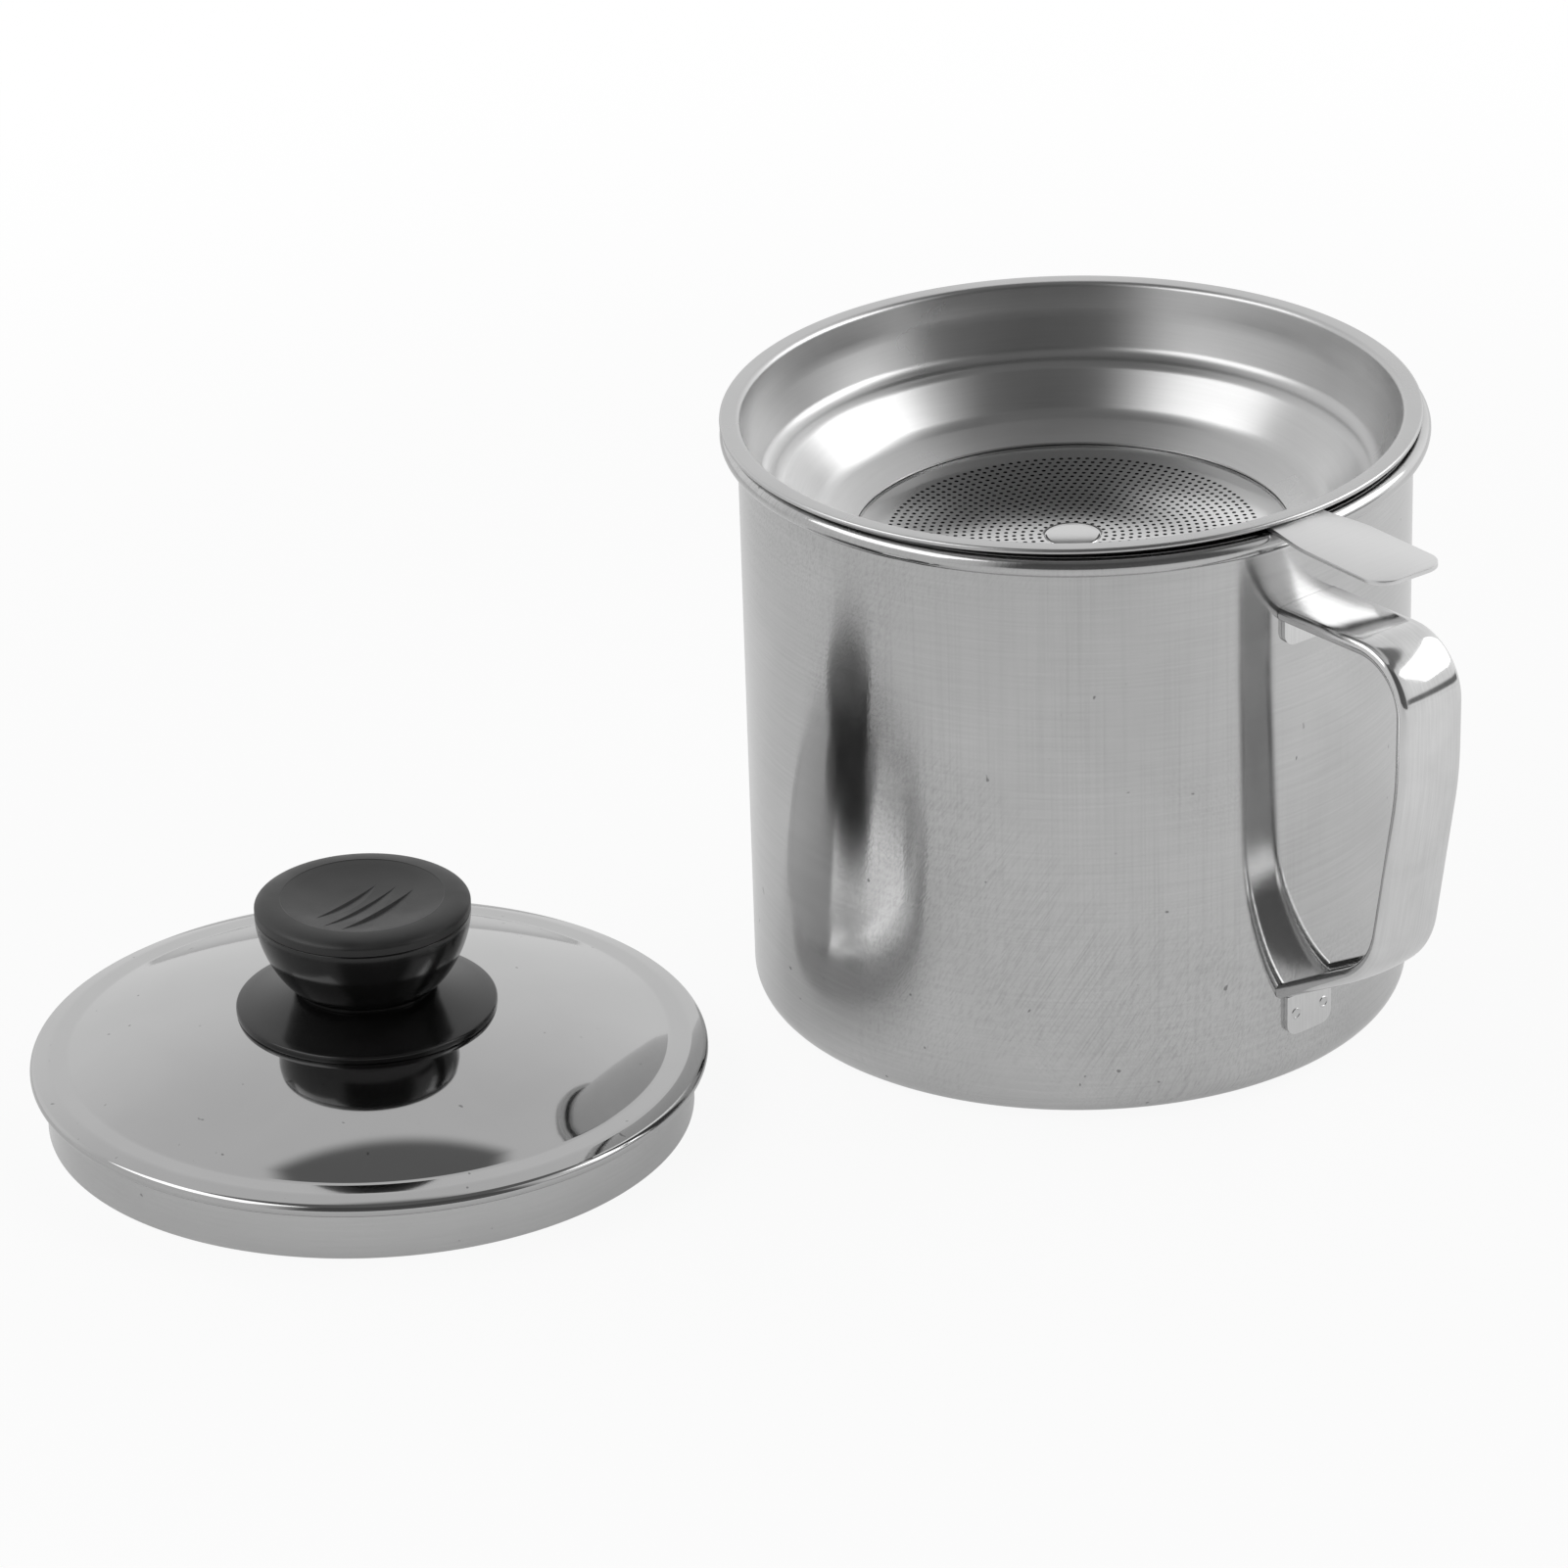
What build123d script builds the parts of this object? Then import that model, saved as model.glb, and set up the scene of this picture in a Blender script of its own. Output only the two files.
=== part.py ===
from build123d import *
import os
from math import asin, atan, cos, degrees, radians, sin, sqrt

# Bacon grease container: a drawn steel cup with a strap handle, a lift-out strainer bowl with a
# perforated disc and a thumb tab, and a domed plug-in lid with a knob, which lies beside the cup.
# Millimetres. +Z is up, +X points to the handle, and the origin is the centre of the cup's base.

os.makedirs("parts", exist_ok=True)

# ---------------------------------------------------------------------------------------------
# Driving dimensions
# ---------------------------------------------------------------------------------------------

# Cup
cup_height = 128.2            # floor to the crest of the rolled bead
mouth_radius = 70.0           # outside of the wall under the bead
foot_radius = 69.0            # outside of the wall, run down to the floor
cup_sheet = 0.5
base_corner_radius = 6.2
bead_radius = 2.05            # section radius of the rolled bead
bead_turn = 285               # degrees that the sheet is rolled

# Handle: one strap with curled edges and a weld tab at each end
handle_top = 110.5            # height of the strap's outer face at the upper root
handle_reach = 37.0           # outermost face of the strap, beyond the cup's wall
handle_knee = 80.0            # height where the grip begins to lean in
knee_inset = 0.6              # how far the knee stands in from the upper corner
heel_height = 36.0            # height of the lower corner
heel_inset = 8.5              # how far the lower corner stands in from the upper corner
lower_root_height = 20.6      # height of the strap's outer face where it meets the wall below
shoulder_bend = 14.0          # outside bend radius at the upper corner
knee_bend = 80.0
heel_bend = 20.0
strap_width = 17.2
strap_sheet = 1.1
edge_curl_radius = 1.05       # middle of the sheet in the curled edges
edge_curl_turn = 200
upper_tab_width = 15.0
upper_tab_foot = 101.4
lower_tab_width = 12.4
lower_tab_foot = 12.1
tab_corner_radius = 2.6
weld_gap = 0.04               # the welded sheets lie this far apart
spot_radius = 1.05
spot_spacing = 7.8
spot_edge_distance = 4.8      # spot centre above the foot of its tab
spot_height = 0.12            # how far a spot stands out of its tab
spot_clearance = 0.02

# Strainer
strainer_sheet = 0.6
rim_outer_radius = 72.8
hem_width = 2.9               # the rim's edge is folded under this far
bowl_wall_radius = 68.9       # middle of the sheet, all of these
bowl_waist_radius = 67.4
bowl_waist_depth = 6.5
ledge_outer_radius = 64.2
ledge_depth = 14.9
ledge_width = 3.6
ledge_fall = 0.4
funnel_bend_radius = 53.3
funnel_bend_depth = 24.1
disc_opening_radius = 45.5
lip_depth = 27.4
ring_bend = 1.0
waist_bend = 20.0
ledge_bend = 2.4
funnel_bend = 7.0
seat_gap = 0.25               # the strainer hangs this far above the bead
seat_shift = 0.8              # it rests this far off the cup's axis
seat_shift_bearing = 227.0

# Filter disc
disc_sheet = 0.5
disc_grip = 3.9               # how far the disc reaches under the bowl's lip
disc_gap = 0.1
ring_pitch = 1.744            # a ring of holes has six more holes than the ring inside it
hole_radius = 0.46
first_hole_ring = 4
last_hole_ring = 22

# Thumb tab
thumb_tab_sheet = 1.0
thumb_tab_bearing = -3.6
thumb_tab_length = 35.4       # beyond the strainer's rim
thumb_tab_root_width = 14.0
thumb_tab_width = 17.8
thumb_tab_flare = 10.5        # the tab has its full width this far beyond the rim
thumb_tab_corner = 5.0
thumb_tab_neck_bend = 9.0
thumb_tab_weld_margin = 0.8   # the tab's inner end stands off the bowl's wall

# Lid, lying beside the cup on its skirt
lid_distance = 158.7
lid_bearing = -110.6
lid_sheet = 0.6
dome_height = 25.1            # floor to the top of the dome
dome_radius = 186.0
valley_radius = 62.4          # the crease between the dome and the border
border_crest_radius = 66.3
border_crest_height = 14.1
lid_edge_radius = 70.2
lid_edge_height = 13.2
lid_return_height = 11.2
skirt_radius = 67.0
skirt_top = 9.9
valley_bend = 4.0
border_bend = 6.0
edge_bend = 0.8
skirt_bend = 0.8
dome_line_length = 3.0        # straight run of the dome beside the crease

# Knob
flange_radius = 27.0
flange_edge = 1.5
flange_height = 3.0           # dome top to the flange's seat for the grip
flange_wall = 1.5
flange_sag = 0.3              # the flange's top is hollow by this much
hub_radius = 8.0
grip_base_radius = 14.0
neck_height = 1.4             # short neck between the flange and the bowl of the grip
bowl_foot_radius = 15.2       # the bowl's underside overhangs the neck
grip_radius = 22.3
grip_height = 17.1            # flange seat to the seam under the cap
grip_bulge = 1.85
cap_height = 3.3              # seam to the cap's rim
shoulder_drop = 1.9           # rim to the cap's widest level, down a quarter of an ellipse
cap_plug_radius = 18.8
cap_plug_depth = 3.9
dish_radius = 17.0
dish_depth = 1.7
groove_spacing = 4.1
middle_groove_length = 23.4
outer_groove_length = 19.2
groove_depth = 0.45
groove_steep_run = 0.25       # width of the groove's steep flank
groove_gentle_run = 2.2       # width of its gentle flank
groove_lean = 13.0
wheel_turn = 20.0             # degrees that the cutting wheel turns to each side of a groove
groove_centre = (2.0, -0.6)   # middle of the grooves, off the lid's axis
fit_clearance = 0.05

# Knob's fastening
insert_radius = 4.2
insert_length = 12.0
screw_radius = 2.4
screw_hole_radius = 2.8
screw_head_radius = 4.6
screw_head_height = 2.8
screw_tip_margin = 2.0        # the screw ends this far inside the insert's blind end
screw_slot_width = 1.2
screw_slot_depth = 1.3
washer_radius = 7.0
washer_sheet = 1.0

# ---------------------------------------------------------------------------------------------
# Derived places
# ---------------------------------------------------------------------------------------------

bead_centre_height = cup_height - bead_radius
bead_centre_radius = mouth_radius - cup_sheet + bead_radius


def wall_radius(height):
    """Outside radius of the cup's slightly tapered wall."""
    return foot_radius + (mouth_radius - foot_radius) * height / bead_centre_height


rim_sheet = 2 * strainer_sheet
tilt = degrees(atan(thumb_tab_sheet / (2 * bead_centre_radius)))
seat_height = cup_height + seat_gap + thumb_tab_sheet / 2
seat_origin = Vector(
    seat_shift * cos(radians(seat_shift_bearing)),
    seat_shift * sin(radians(seat_shift_bearing)),
    seat_height,
)
# The strainer's own plane lies on the underside of its rim, with x towards the thumb tab. The tab
# lies between the rim and the bead, so the plane is tilted by the tab's thickness.
seat = Plane(Location(seat_origin, (0, -tilt, thumb_tab_bearing)))
strainer_section = Plane(seat.origin, x_dir=seat.x_dir, z_dir=-seat.y_dir)
strainer_axis = Axis(seat.origin, seat.z_dir)
disc_top_depth = lip_depth + strainer_sheet / 2 + disc_gap
disc_radius = disc_opening_radius + disc_grip

lid_origin = Vector(
    lid_distance * cos(radians(lid_bearing)),
    lid_distance * sin(radians(lid_bearing)),
    0,
)
lid_section = Plane(lid_origin, x_dir=(1, 0, 0), z_dir=(0, -1, 0))
lid_axis = Axis(lid_origin, (0, 0, 1))
dome_centre_height = dome_height - dome_radius


def dome_surface(radius):
    """Height of the dome's outer face at a radius from the lid's axis."""
    return dome_centre_height + sqrt(dome_radius**2 - radius**2)


grip_base_height = dome_height + flange_height
seam_height = grip_base_height + grip_height
cap_top = seam_height + cap_height

# ---------------------------------------------------------------------------------------------
# Cup body: one drawn sheet, base, wall and rolled bead
# ---------------------------------------------------------------------------------------------

with BuildPart() as cup_body:
    with BuildSketch(Plane.XZ):
        with BuildLine():
            cup_wall = FilletPolyline(
                (0, cup_sheet / 2),
                (foot_radius - cup_sheet / 2, cup_sheet / 2),
                (mouth_radius - cup_sheet / 2, bead_centre_height),
                radius=base_corner_radius - cup_sheet / 2,
            )
            JernArc(cup_wall @ 1, cup_wall % 1, bead_radius - cup_sheet / 2, -bead_turn)
        trace(line_width=cup_sheet)
    revolve(axis=Axis.Z)

# ---------------------------------------------------------------------------------------------
# Handle: the weld tabs hug the wall, the strap is swept along its bend line
# ---------------------------------------------------------------------------------------------

tab_outer_gap = weld_gap + strap_sheet
corner_radius_out = mouth_radius + handle_reach
strap_middle = strap_sheet / 2


def wall_shell(near, far):
    """Closed outline between two distances outside the cup's wall, in the XZ plane."""
    Polyline(
        (wall_radius(0) + near, 0),
        (wall_radius(0) + far, 0),
        (wall_radius(bead_centre_height) + far, bead_centre_height),
        (wall_radius(bead_centre_height) + near, bead_centre_height),
        close=True,
    )


with BuildPart() as weld_tabs:
    with BuildSketch(Plane.XZ):
        with BuildLine():
            wall_shell(weld_gap, tab_outer_gap)
        make_face()
    revolve(axis=Axis.Z)
    with BuildSketch(Plane.YZ) as tab_outlines:
        for foot, top, width in (
            (upper_tab_foot, handle_top - strap_middle, upper_tab_width),
            (lower_tab_foot, lower_root_height + strap_middle, lower_tab_width),
        ):
            with Locations((0, (foot + top) / 2)):
                Rectangle(width, top - foot)
        tab_rows = tab_outlines.vertices().group_by(Axis.Y)
        fillet(tab_rows[0] + tab_rows[2], tab_corner_radius)
    extrude(amount=corner_radius_out, mode=Mode.INTERSECT)

with BuildPart() as handle:
    with BuildLine(Plane.XZ) as strap_path:
        FilletPolyline(
            (mouth_radius - strap_width / 2, handle_top - strap_middle),
            (corner_radius_out - strap_middle, handle_top - strap_middle),
            (corner_radius_out - strap_middle - knee_inset, handle_knee),
            (corner_radius_out - strap_middle - heel_inset, heel_height + strap_middle),
            (wall_radius(lower_root_height), lower_root_height + strap_middle),
            radius=[
                shoulder_bend - strap_middle,
                knee_bend - strap_middle,
                heel_bend - strap_middle,
            ],
        )
    with BuildSketch(Plane(strap_path.line @ 0, x_dir=(0, 1, 0), z_dir=strap_path.line % 0)):
        with BuildLine():
            web_half = strap_width / 2 - strap_middle - edge_curl_radius
            web = Line((-web_half, 0), (web_half, 0))
            JernArc(web @ 1, web % 1, edge_curl_radius, -edge_curl_turn)
            JernArc(web @ 0, -(web % 0), edge_curl_radius, edge_curl_turn)
        trace(line_width=strap_sheet)
    sweep(path=strap_path.line)
    with BuildSketch(Plane.XZ):
        with BuildLine():
            wall_shell(-mouth_radius / 2, weld_gap)
        make_face()
    revolve(axis=Axis.Z, mode=Mode.SUBTRACT)
    add(weld_tabs.part)
    with BuildSketch(Plane.YZ):
        with Locations(
            (0, upper_tab_foot + spot_edge_distance), (0, lower_tab_foot + spot_edge_distance)
        ):
            with GridLocations(spot_spacing, 1, 2, 1):
                Circle(spot_radius + spot_clearance)
    extrude(amount=mouth_radius + strap_sheet + spot_radius, mode=Mode.SUBTRACT)

with BuildPart() as handle_spot_welds:
    with BuildSketch(Plane.XZ):
        with BuildLine():
            wall_shell(weld_gap / 2, tab_outer_gap + spot_height)
        make_face()
    revolve(axis=Axis.Z)
    with BuildSketch(Plane.YZ):
        with Locations(
            (0, upper_tab_foot + spot_edge_distance), (0, lower_tab_foot + spot_edge_distance)
        ):
            with GridLocations(spot_spacing, 1, 2, 1):
                Circle(spot_radius)
    extrude(amount=corner_radius_out, mode=Mode.INTERSECT)

# ---------------------------------------------------------------------------------------------
# Strainer bowl: flat hemmed rim, stepped wall, funnel floor and a folded seam round the disc
# ---------------------------------------------------------------------------------------------


def below_rim(radius, depth):
    """Point in the strainer's section plane, by its depth below the rim's top face."""
    return (radius, rim_sheet - depth)


disc_bottom_depth = disc_top_depth + disc_sheet
seam_inner_radius = disc_radius + disc_gap
seam_foot_depth = disc_bottom_depth + disc_gap + strainer_sheet
seam_lip_radius = disc_opening_radius + disc_grip / 2
funnel_slope = (lip_depth - funnel_bend_depth) / (funnel_bend_radius - disc_opening_radius)
seam_top_depth = lip_depth - funnel_slope * (seam_inner_radius - disc_opening_radius)

with BuildPart() as strainer_bowl:
    with BuildSketch(strainer_section):
        with BuildLine():
            FilletPolyline(
                below_rim(rim_outer_radius - rim_sheet, strainer_sheet / 2),
                below_rim(bowl_wall_radius, strainer_sheet / 2),
                below_rim(bowl_waist_radius, bowl_waist_depth),
                below_rim(ledge_outer_radius, ledge_depth),
                below_rim(ledge_outer_radius - ledge_width, ledge_depth + ledge_fall),
                below_rim(funnel_bend_radius, funnel_bend_depth),
                below_rim(disc_opening_radius, lip_depth),
                radius=[ring_bend, waist_bend, ledge_bend, ledge_bend, funnel_bend],
            )
        trace(line_width=strainer_sheet)
        with Locations((rim_outer_radius - hem_width / 2, rim_sheet / 2)):
            SlotOverall(hem_width, rim_sheet)
        with BuildLine():
            Polyline(
                below_rim(seam_inner_radius, seam_top_depth),
                below_rim(seam_inner_radius + strainer_sheet, seam_top_depth - strainer_sheet / 2),
                below_rim(seam_inner_radius + strainer_sheet, seam_foot_depth),
                below_rim(seam_lip_radius, seam_foot_depth),
                below_rim(seam_lip_radius, seam_foot_depth - strainer_sheet),
                below_rim(seam_inner_radius, seam_foot_depth - strainer_sheet),
                close=True,
            )
        make_face()
    revolve(axis=strainer_axis)

# ---------------------------------------------------------------------------------------------
# Filter disc: rings of punched holes round a plain centre
# ---------------------------------------------------------------------------------------------

hole_places = [
    place
    for ring in range(first_hole_ring, last_hole_ring + 1)
    for place in PolarLocations(ring * ring_pitch, 6 * ring)
]
hole_rims = [Wire.make_circle(hole_radius, Plane(place)) for place in hole_places]
perforated_face = Face(Wire.make_circle(disc_radius), hole_rims)

with BuildPart() as filter_disc:
    with BuildSketch(seat.offset(rim_sheet - disc_top_depth)):
        add(perforated_face)
    extrude(amount=-disc_sheet)

# ---------------------------------------------------------------------------------------------
# Thumb tab: flat plate welded under the rim, over the cup's bead
# ---------------------------------------------------------------------------------------------

thumb_tab_start = bowl_wall_radius + thumb_tab_weld_margin
thumb_tab_end = rim_outer_radius + thumb_tab_length
thumb_spot_radius_place = rim_outer_radius - hem_width / 2

with BuildPart() as thumb_tab:
    with BuildSketch(seat) as thumb_outline:
        with BuildLine():
            Polyline(
                (thumb_tab_start, -thumb_tab_root_width / 2),
                (rim_outer_radius, -thumb_tab_root_width / 2),
                (rim_outer_radius + thumb_tab_flare, -thumb_tab_width / 2),
                (thumb_tab_end, -thumb_tab_width / 2),
                (thumb_tab_end, thumb_tab_width / 2),
                (rim_outer_radius + thumb_tab_flare, thumb_tab_width / 2),
                (rim_outer_radius, thumb_tab_root_width / 2),
                (thumb_tab_start, thumb_tab_root_width / 2),
                close=True,
            )
        make_face()
        fillet(thumb_outline.vertices().group_by(Axis.X)[-1], thumb_tab_corner)
        fillet(thumb_outline.vertices().group_by(Axis.X)[1], thumb_tab_neck_bend)
        with Locations((thumb_spot_radius_place, 0)):
            with GridLocations(1, spot_spacing, 1, 2):
                Circle(spot_radius + spot_clearance, mode=Mode.SUBTRACT)
    extrude(amount=-thumb_tab_sheet)

with BuildPart() as tab_spot_welds:
    with BuildSketch(seat.offset(-spot_clearance)):
        with Locations((thumb_spot_radius_place, 0)):
            with GridLocations(1, spot_spacing, 1, 2):
                Circle(spot_radius)
    extrude(amount=-(thumb_tab_sheet - spot_clearance))

# ---------------------------------------------------------------------------------------------
# Lid shell: dome, crease, rolled border and plug-in skirt from one sheet
# ---------------------------------------------------------------------------------------------

half_lid_sheet = lid_sheet / 2
dome_middle_radius = dome_radius - half_lid_sheet
hole_angle = degrees(asin(screw_hole_radius / dome_middle_radius))
dome_end_angle = degrees(asin((valley_radius - dome_line_length) / dome_middle_radius))

with BuildPart() as lid_shell:
    with BuildSketch(lid_section):
        with BuildLine():
            dome_arc = CenterArc(
                (0, dome_centre_height),
                dome_middle_radius,
                90 - hole_angle,
                hole_angle - dome_end_angle,
            )
            dome_end = dome_arc @ 1
            dome_slope = dome_arc % 1
            FilletPolyline(
                dome_end,
                dome_end + dome_slope * dome_line_length,
                (border_crest_radius, border_crest_height - half_lid_sheet),
                (lid_edge_radius - half_lid_sheet, lid_edge_height - half_lid_sheet),
                (lid_edge_radius - half_lid_sheet, lid_return_height),
                (skirt_radius - half_lid_sheet, skirt_top),
                (skirt_radius - half_lid_sheet, 0),
                radius=[valley_bend, border_bend, edge_bend, edge_bend, skirt_bend],
            )
        trace(line_width=lid_sheet)
    revolve(axis=lid_axis)

# ---------------------------------------------------------------------------------------------
# Knob: hollow flange on the dome, solid grip, dished cap with three grip grooves
# ---------------------------------------------------------------------------------------------

flange_foot = dome_surface(flange_radius) + fit_clearance
flange_inner_foot = dome_surface(flange_radius - flange_wall) + fit_clearance
flange_rim = flange_foot + flange_edge

with BuildPart() as knob_flange:
    with BuildSketch(lid_section):
        with BuildLine():
            flange_top_line = SagittaArc(
                (grip_base_radius, grip_base_height), (flange_radius, flange_rim), flange_sag
            )
            Polyline(
                flange_top_line @ 0,
                (screw_hole_radius, grip_base_height),
                (screw_hole_radius, dome_height),
                (hub_radius, dome_height),
                (hub_radius, grip_base_height - flange_wall),
                (grip_base_radius, grip_base_height - flange_wall),
                (flange_radius - flange_wall, flange_foot + flange_edge / 2),
                (flange_radius - flange_wall, flange_inner_foot),
                (flange_radius, flange_foot),
                flange_top_line @ 1,
            )
        make_face()
    revolve(axis=lid_axis)

insert_top = grip_base_height + insert_length

with BuildPart() as knob_grip:
    with BuildSketch(lid_section):
        with BuildLine():
            grip_side = SagittaArc(
                (grip_radius, seam_height),
                (bowl_foot_radius, grip_base_height + neck_height),
                grip_bulge,
            )
            Polyline(
                grip_side @ 0,
                (cap_plug_radius + fit_clearance, seam_height),
                (cap_plug_radius + fit_clearance, seam_height - cap_plug_depth - fit_clearance),
                (0, seam_height - cap_plug_depth - fit_clearance),
                (0, insert_top + fit_clearance),
                (insert_radius + fit_clearance, insert_top + fit_clearance),
                (insert_radius + fit_clearance, grip_base_height),
                (grip_base_radius, grip_base_height),
                (grip_base_radius, grip_base_height + neck_height),
                grip_side @ 1,
            )
        make_face()
    revolve(axis=lid_axis)

dish_floor = cap_top - dish_depth
dish_curve = (dish_radius**2 + dish_depth**2) / (2 * dish_depth)
across_grooves = Vector(cos(radians(groove_lean)), sin(radians(groove_lean)), 0)
along_grooves = Vector(-across_grooves.Y, across_grooves.X, 0)

with BuildPart() as knob_cap:
    with BuildSketch(lid_section):
        with BuildLine():
            TangentArc((0, dish_floor), (dish_radius, cap_top), tangent=(1, 0))
            shoulder = EllipticalCenterArc(
                (dish_radius, cap_top - shoulder_drop),
                grip_radius - dish_radius,
                shoulder_drop,
                arc_size=90,
            )
            Polyline(
                shoulder @ 0,
                (grip_radius, seam_height),
                (cap_plug_radius, seam_height),
                (cap_plug_radius, seam_height - cap_plug_depth),
                (0, seam_height - cap_plug_depth),
                (0, dish_floor),
            )
        make_face()
    revolve(axis=lid_axis)
    for offset, groove_length in (
        (-groove_spacing, outer_groove_length),
        (0, middle_groove_length),
        (groove_spacing, outer_groove_length),
    ):
        # Each groove is the cut of a large thin wheel, so it runs out to a point at both ends.
        middle = Vector(*groove_centre) + across_grooves * offset
        tip_height = dish_floor + middle.length**2 / (2 * dish_curve) - groove_depth
        tip = lid_origin + middle + Vector(0, 0, tip_height)
        wheel_radius = 1 / (8 * groove_depth / groove_length**2 + 1 / dish_curve)
        with BuildSketch(
            Plane(tip, x_dir=across_grooves, z_dir=-along_grooves)
        ) as groove_section:
            with BuildLine():
                Polyline(
                    (0, 0),
                    (2 * groove_gentle_run, 2 * groove_depth),
                    (-2 * groove_steep_run, 2 * groove_depth),
                    close=True,
                )
            make_face()
        for way in (across_grooves, -across_grooves):
            revolve(
                groove_section.sketch,
                axis=Axis(tip + Vector(0, 0, wheel_radius), way),
                revolution_arc=wheel_turn,
                mode=Mode.SUBTRACT,
            )

# ---------------------------------------------------------------------------------------------
# Knob's fastening: insert in the grip, screw and washer under the dome
# ---------------------------------------------------------------------------------------------

washer_top = dome_surface(washer_radius) - lid_sheet - fit_clearance
washer_foot = washer_top - washer_sheet
screw_tip = insert_top - screw_tip_margin

with BuildPart() as knob_insert:
    with BuildSketch(Plane(lid_origin).offset(grip_base_height)):
        Circle(insert_radius)
        Circle(screw_radius + fit_clearance, mode=Mode.SUBTRACT)
    extrude(amount=insert_length - screw_tip_margin / 2)
    with BuildSketch(Plane(lid_origin).offset(insert_top)):
        Circle(insert_radius)
    extrude(amount=-screw_tip_margin / 2)

with BuildPart() as lid_washer:
    with BuildSketch(Plane(lid_origin).offset(washer_top)):
        Circle(washer_radius)
        Circle(screw_hole_radius, mode=Mode.SUBTRACT)
    extrude(amount=-washer_sheet)

with BuildPart() as lid_screw:
    with BuildSketch(Plane(lid_origin).offset(washer_foot)):
        Circle(screw_radius)
    extrude(amount=screw_tip - washer_foot)
    with BuildSketch(Plane(lid_origin).offset(washer_foot)):
        Circle(screw_head_radius)
    extrude(amount=-screw_head_height)
    fillet(lid_screw.edges().group_by(Axis.Z)[0], screw_head_height / 3)
    with BuildSketch(Plane(lid_origin).offset(washer_foot - screw_head_height)):
        Rectangle(screw_head_radius * 3, screw_slot_width)
    extrude(amount=screw_slot_depth, mode=Mode.SUBTRACT)

# ---------------------------------------------------------------------------------------------
# Output
# ---------------------------------------------------------------------------------------------

pieces = {
    "cup_body": cup_body,
    "handle": handle,
    "handle_spot_welds": handle_spot_welds,
    "strainer_bowl": strainer_bowl,
    "filter_disc": filter_disc,
    "thumb_tab": thumb_tab,
    "tab_spot_welds": tab_spot_welds,
    "lid_shell": lid_shell,
    "knob_flange": knob_flange,
    "knob_grip": knob_grip,
    "knob_cap": knob_cap,
    "knob_insert": knob_insert,
    "lid_washer": lid_washer,
    "lid_screw": lid_screw,
}

for name, piece in pieces.items():
    piece.part.label = name
    export_step(piece.part, f"parts/{name}.step")
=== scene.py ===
# %% [markdown]
# # A steel grease container with its lid beside it
# The container is a drawn cup with a strap handle, a strainer bowl that hangs on the cup's bead,
# and a domed lid with a black knob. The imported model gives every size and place. Sheet steel is
# mirror bright in places, and a mirror shows each flat facet, so the turned and swept pieces are
# made again here as smooth, finely divided sheets, each exactly where its solid is.

import math

import bmesh
import bpy
from mathutils import Matrix, Vector


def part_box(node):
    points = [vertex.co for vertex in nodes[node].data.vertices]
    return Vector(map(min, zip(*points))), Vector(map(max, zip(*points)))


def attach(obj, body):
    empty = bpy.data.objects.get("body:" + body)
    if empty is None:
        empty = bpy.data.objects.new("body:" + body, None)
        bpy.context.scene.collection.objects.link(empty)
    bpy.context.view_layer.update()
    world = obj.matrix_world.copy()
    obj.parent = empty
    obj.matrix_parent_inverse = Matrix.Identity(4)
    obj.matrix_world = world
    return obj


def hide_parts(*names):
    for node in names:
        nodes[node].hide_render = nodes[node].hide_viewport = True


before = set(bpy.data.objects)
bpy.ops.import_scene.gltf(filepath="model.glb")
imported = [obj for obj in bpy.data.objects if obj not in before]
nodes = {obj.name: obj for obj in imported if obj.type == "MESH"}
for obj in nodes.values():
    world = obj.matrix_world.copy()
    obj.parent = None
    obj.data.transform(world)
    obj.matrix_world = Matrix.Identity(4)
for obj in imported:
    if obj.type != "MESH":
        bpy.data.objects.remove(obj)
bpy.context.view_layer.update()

# %% [markdown]
# ## Units and small helpers
# Blender works in metres, and the parts are easier to think of in millimetres, so one factor
# turns one into the other. A turned piece could be a curve with a screw modifier, or a lathe made
# point by point. Here a chain of vertices is the profile, its corners are rounded by a vertex
# bevel, and one spin makes the surface, because those are the steps that a metal spinner takes.

# %% Millimetres, and an object from a finished bmesh
mm = 0.001
turn_steps = 256
Z = Vector((0, 0, 1))


def verts_in(geom):
    """The vertices among the elements that a bmesh operator gives back."""
    return [g for g in geom if isinstance(g, bmesh.types.BMVert)]


def edges_in(geom):
    """The edges among the elements that a bmesh operator gives back."""
    return [g for g in geom if isinstance(g, bmesh.types.BMEdge)]


def finish_piece(bm, name, body, material, smooth_angle=40):
    """Turns a bmesh into a smooth-shaded object that rides on a body."""
    bmesh.ops.remove_doubles(bm, verts=bm.verts, dist=0.002 * mm)
    bmesh.ops.recalc_face_normals(bm, faces=bm.faces)
    mesh = bpy.data.meshes.new(name)
    bm.to_mesh(mesh)
    bm.free()
    mesh.materials.append(material)
    mesh.shade_smooth()
    mesh.set_sharp_from_angle(angle=math.radians(smooth_angle))
    piece = bpy.data.objects.new(name, mesh)
    bpy.context.scene.collection.objects.link(piece)
    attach(piece, body)
    print(name, len(mesh.polygons), "faces")
    return piece


# %% A profile as a chain of points, with rounded corners
def chain(bm, points):
    """Vertices in the XZ plane, in millimetres, joined by edges. Returns the vertices."""
    verts = [bm.verts.new((x * mm, 0, z * mm)) for x, z in points]
    for a, b in zip(verts, verts[1:]):
        bm.edges.new((a, b))
    return verts


def round_corner(bm, vert, radius, steps=8):
    """Rounds one corner of a chain to a radius in millimetres."""
    a, b = [(edge.other_vert(vert).co - vert.co) for edge in vert.link_edges]
    half_turn = (math.pi - a.angle(b)) / 2
    bmesh.ops.bevel(
        bm,
        geom=[vert],
        offset=radius * mm * math.tan(half_turn),
        segments=steps,
        profile=0.5,
        affect="VERTICES",
        material=-1,
    )


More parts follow.
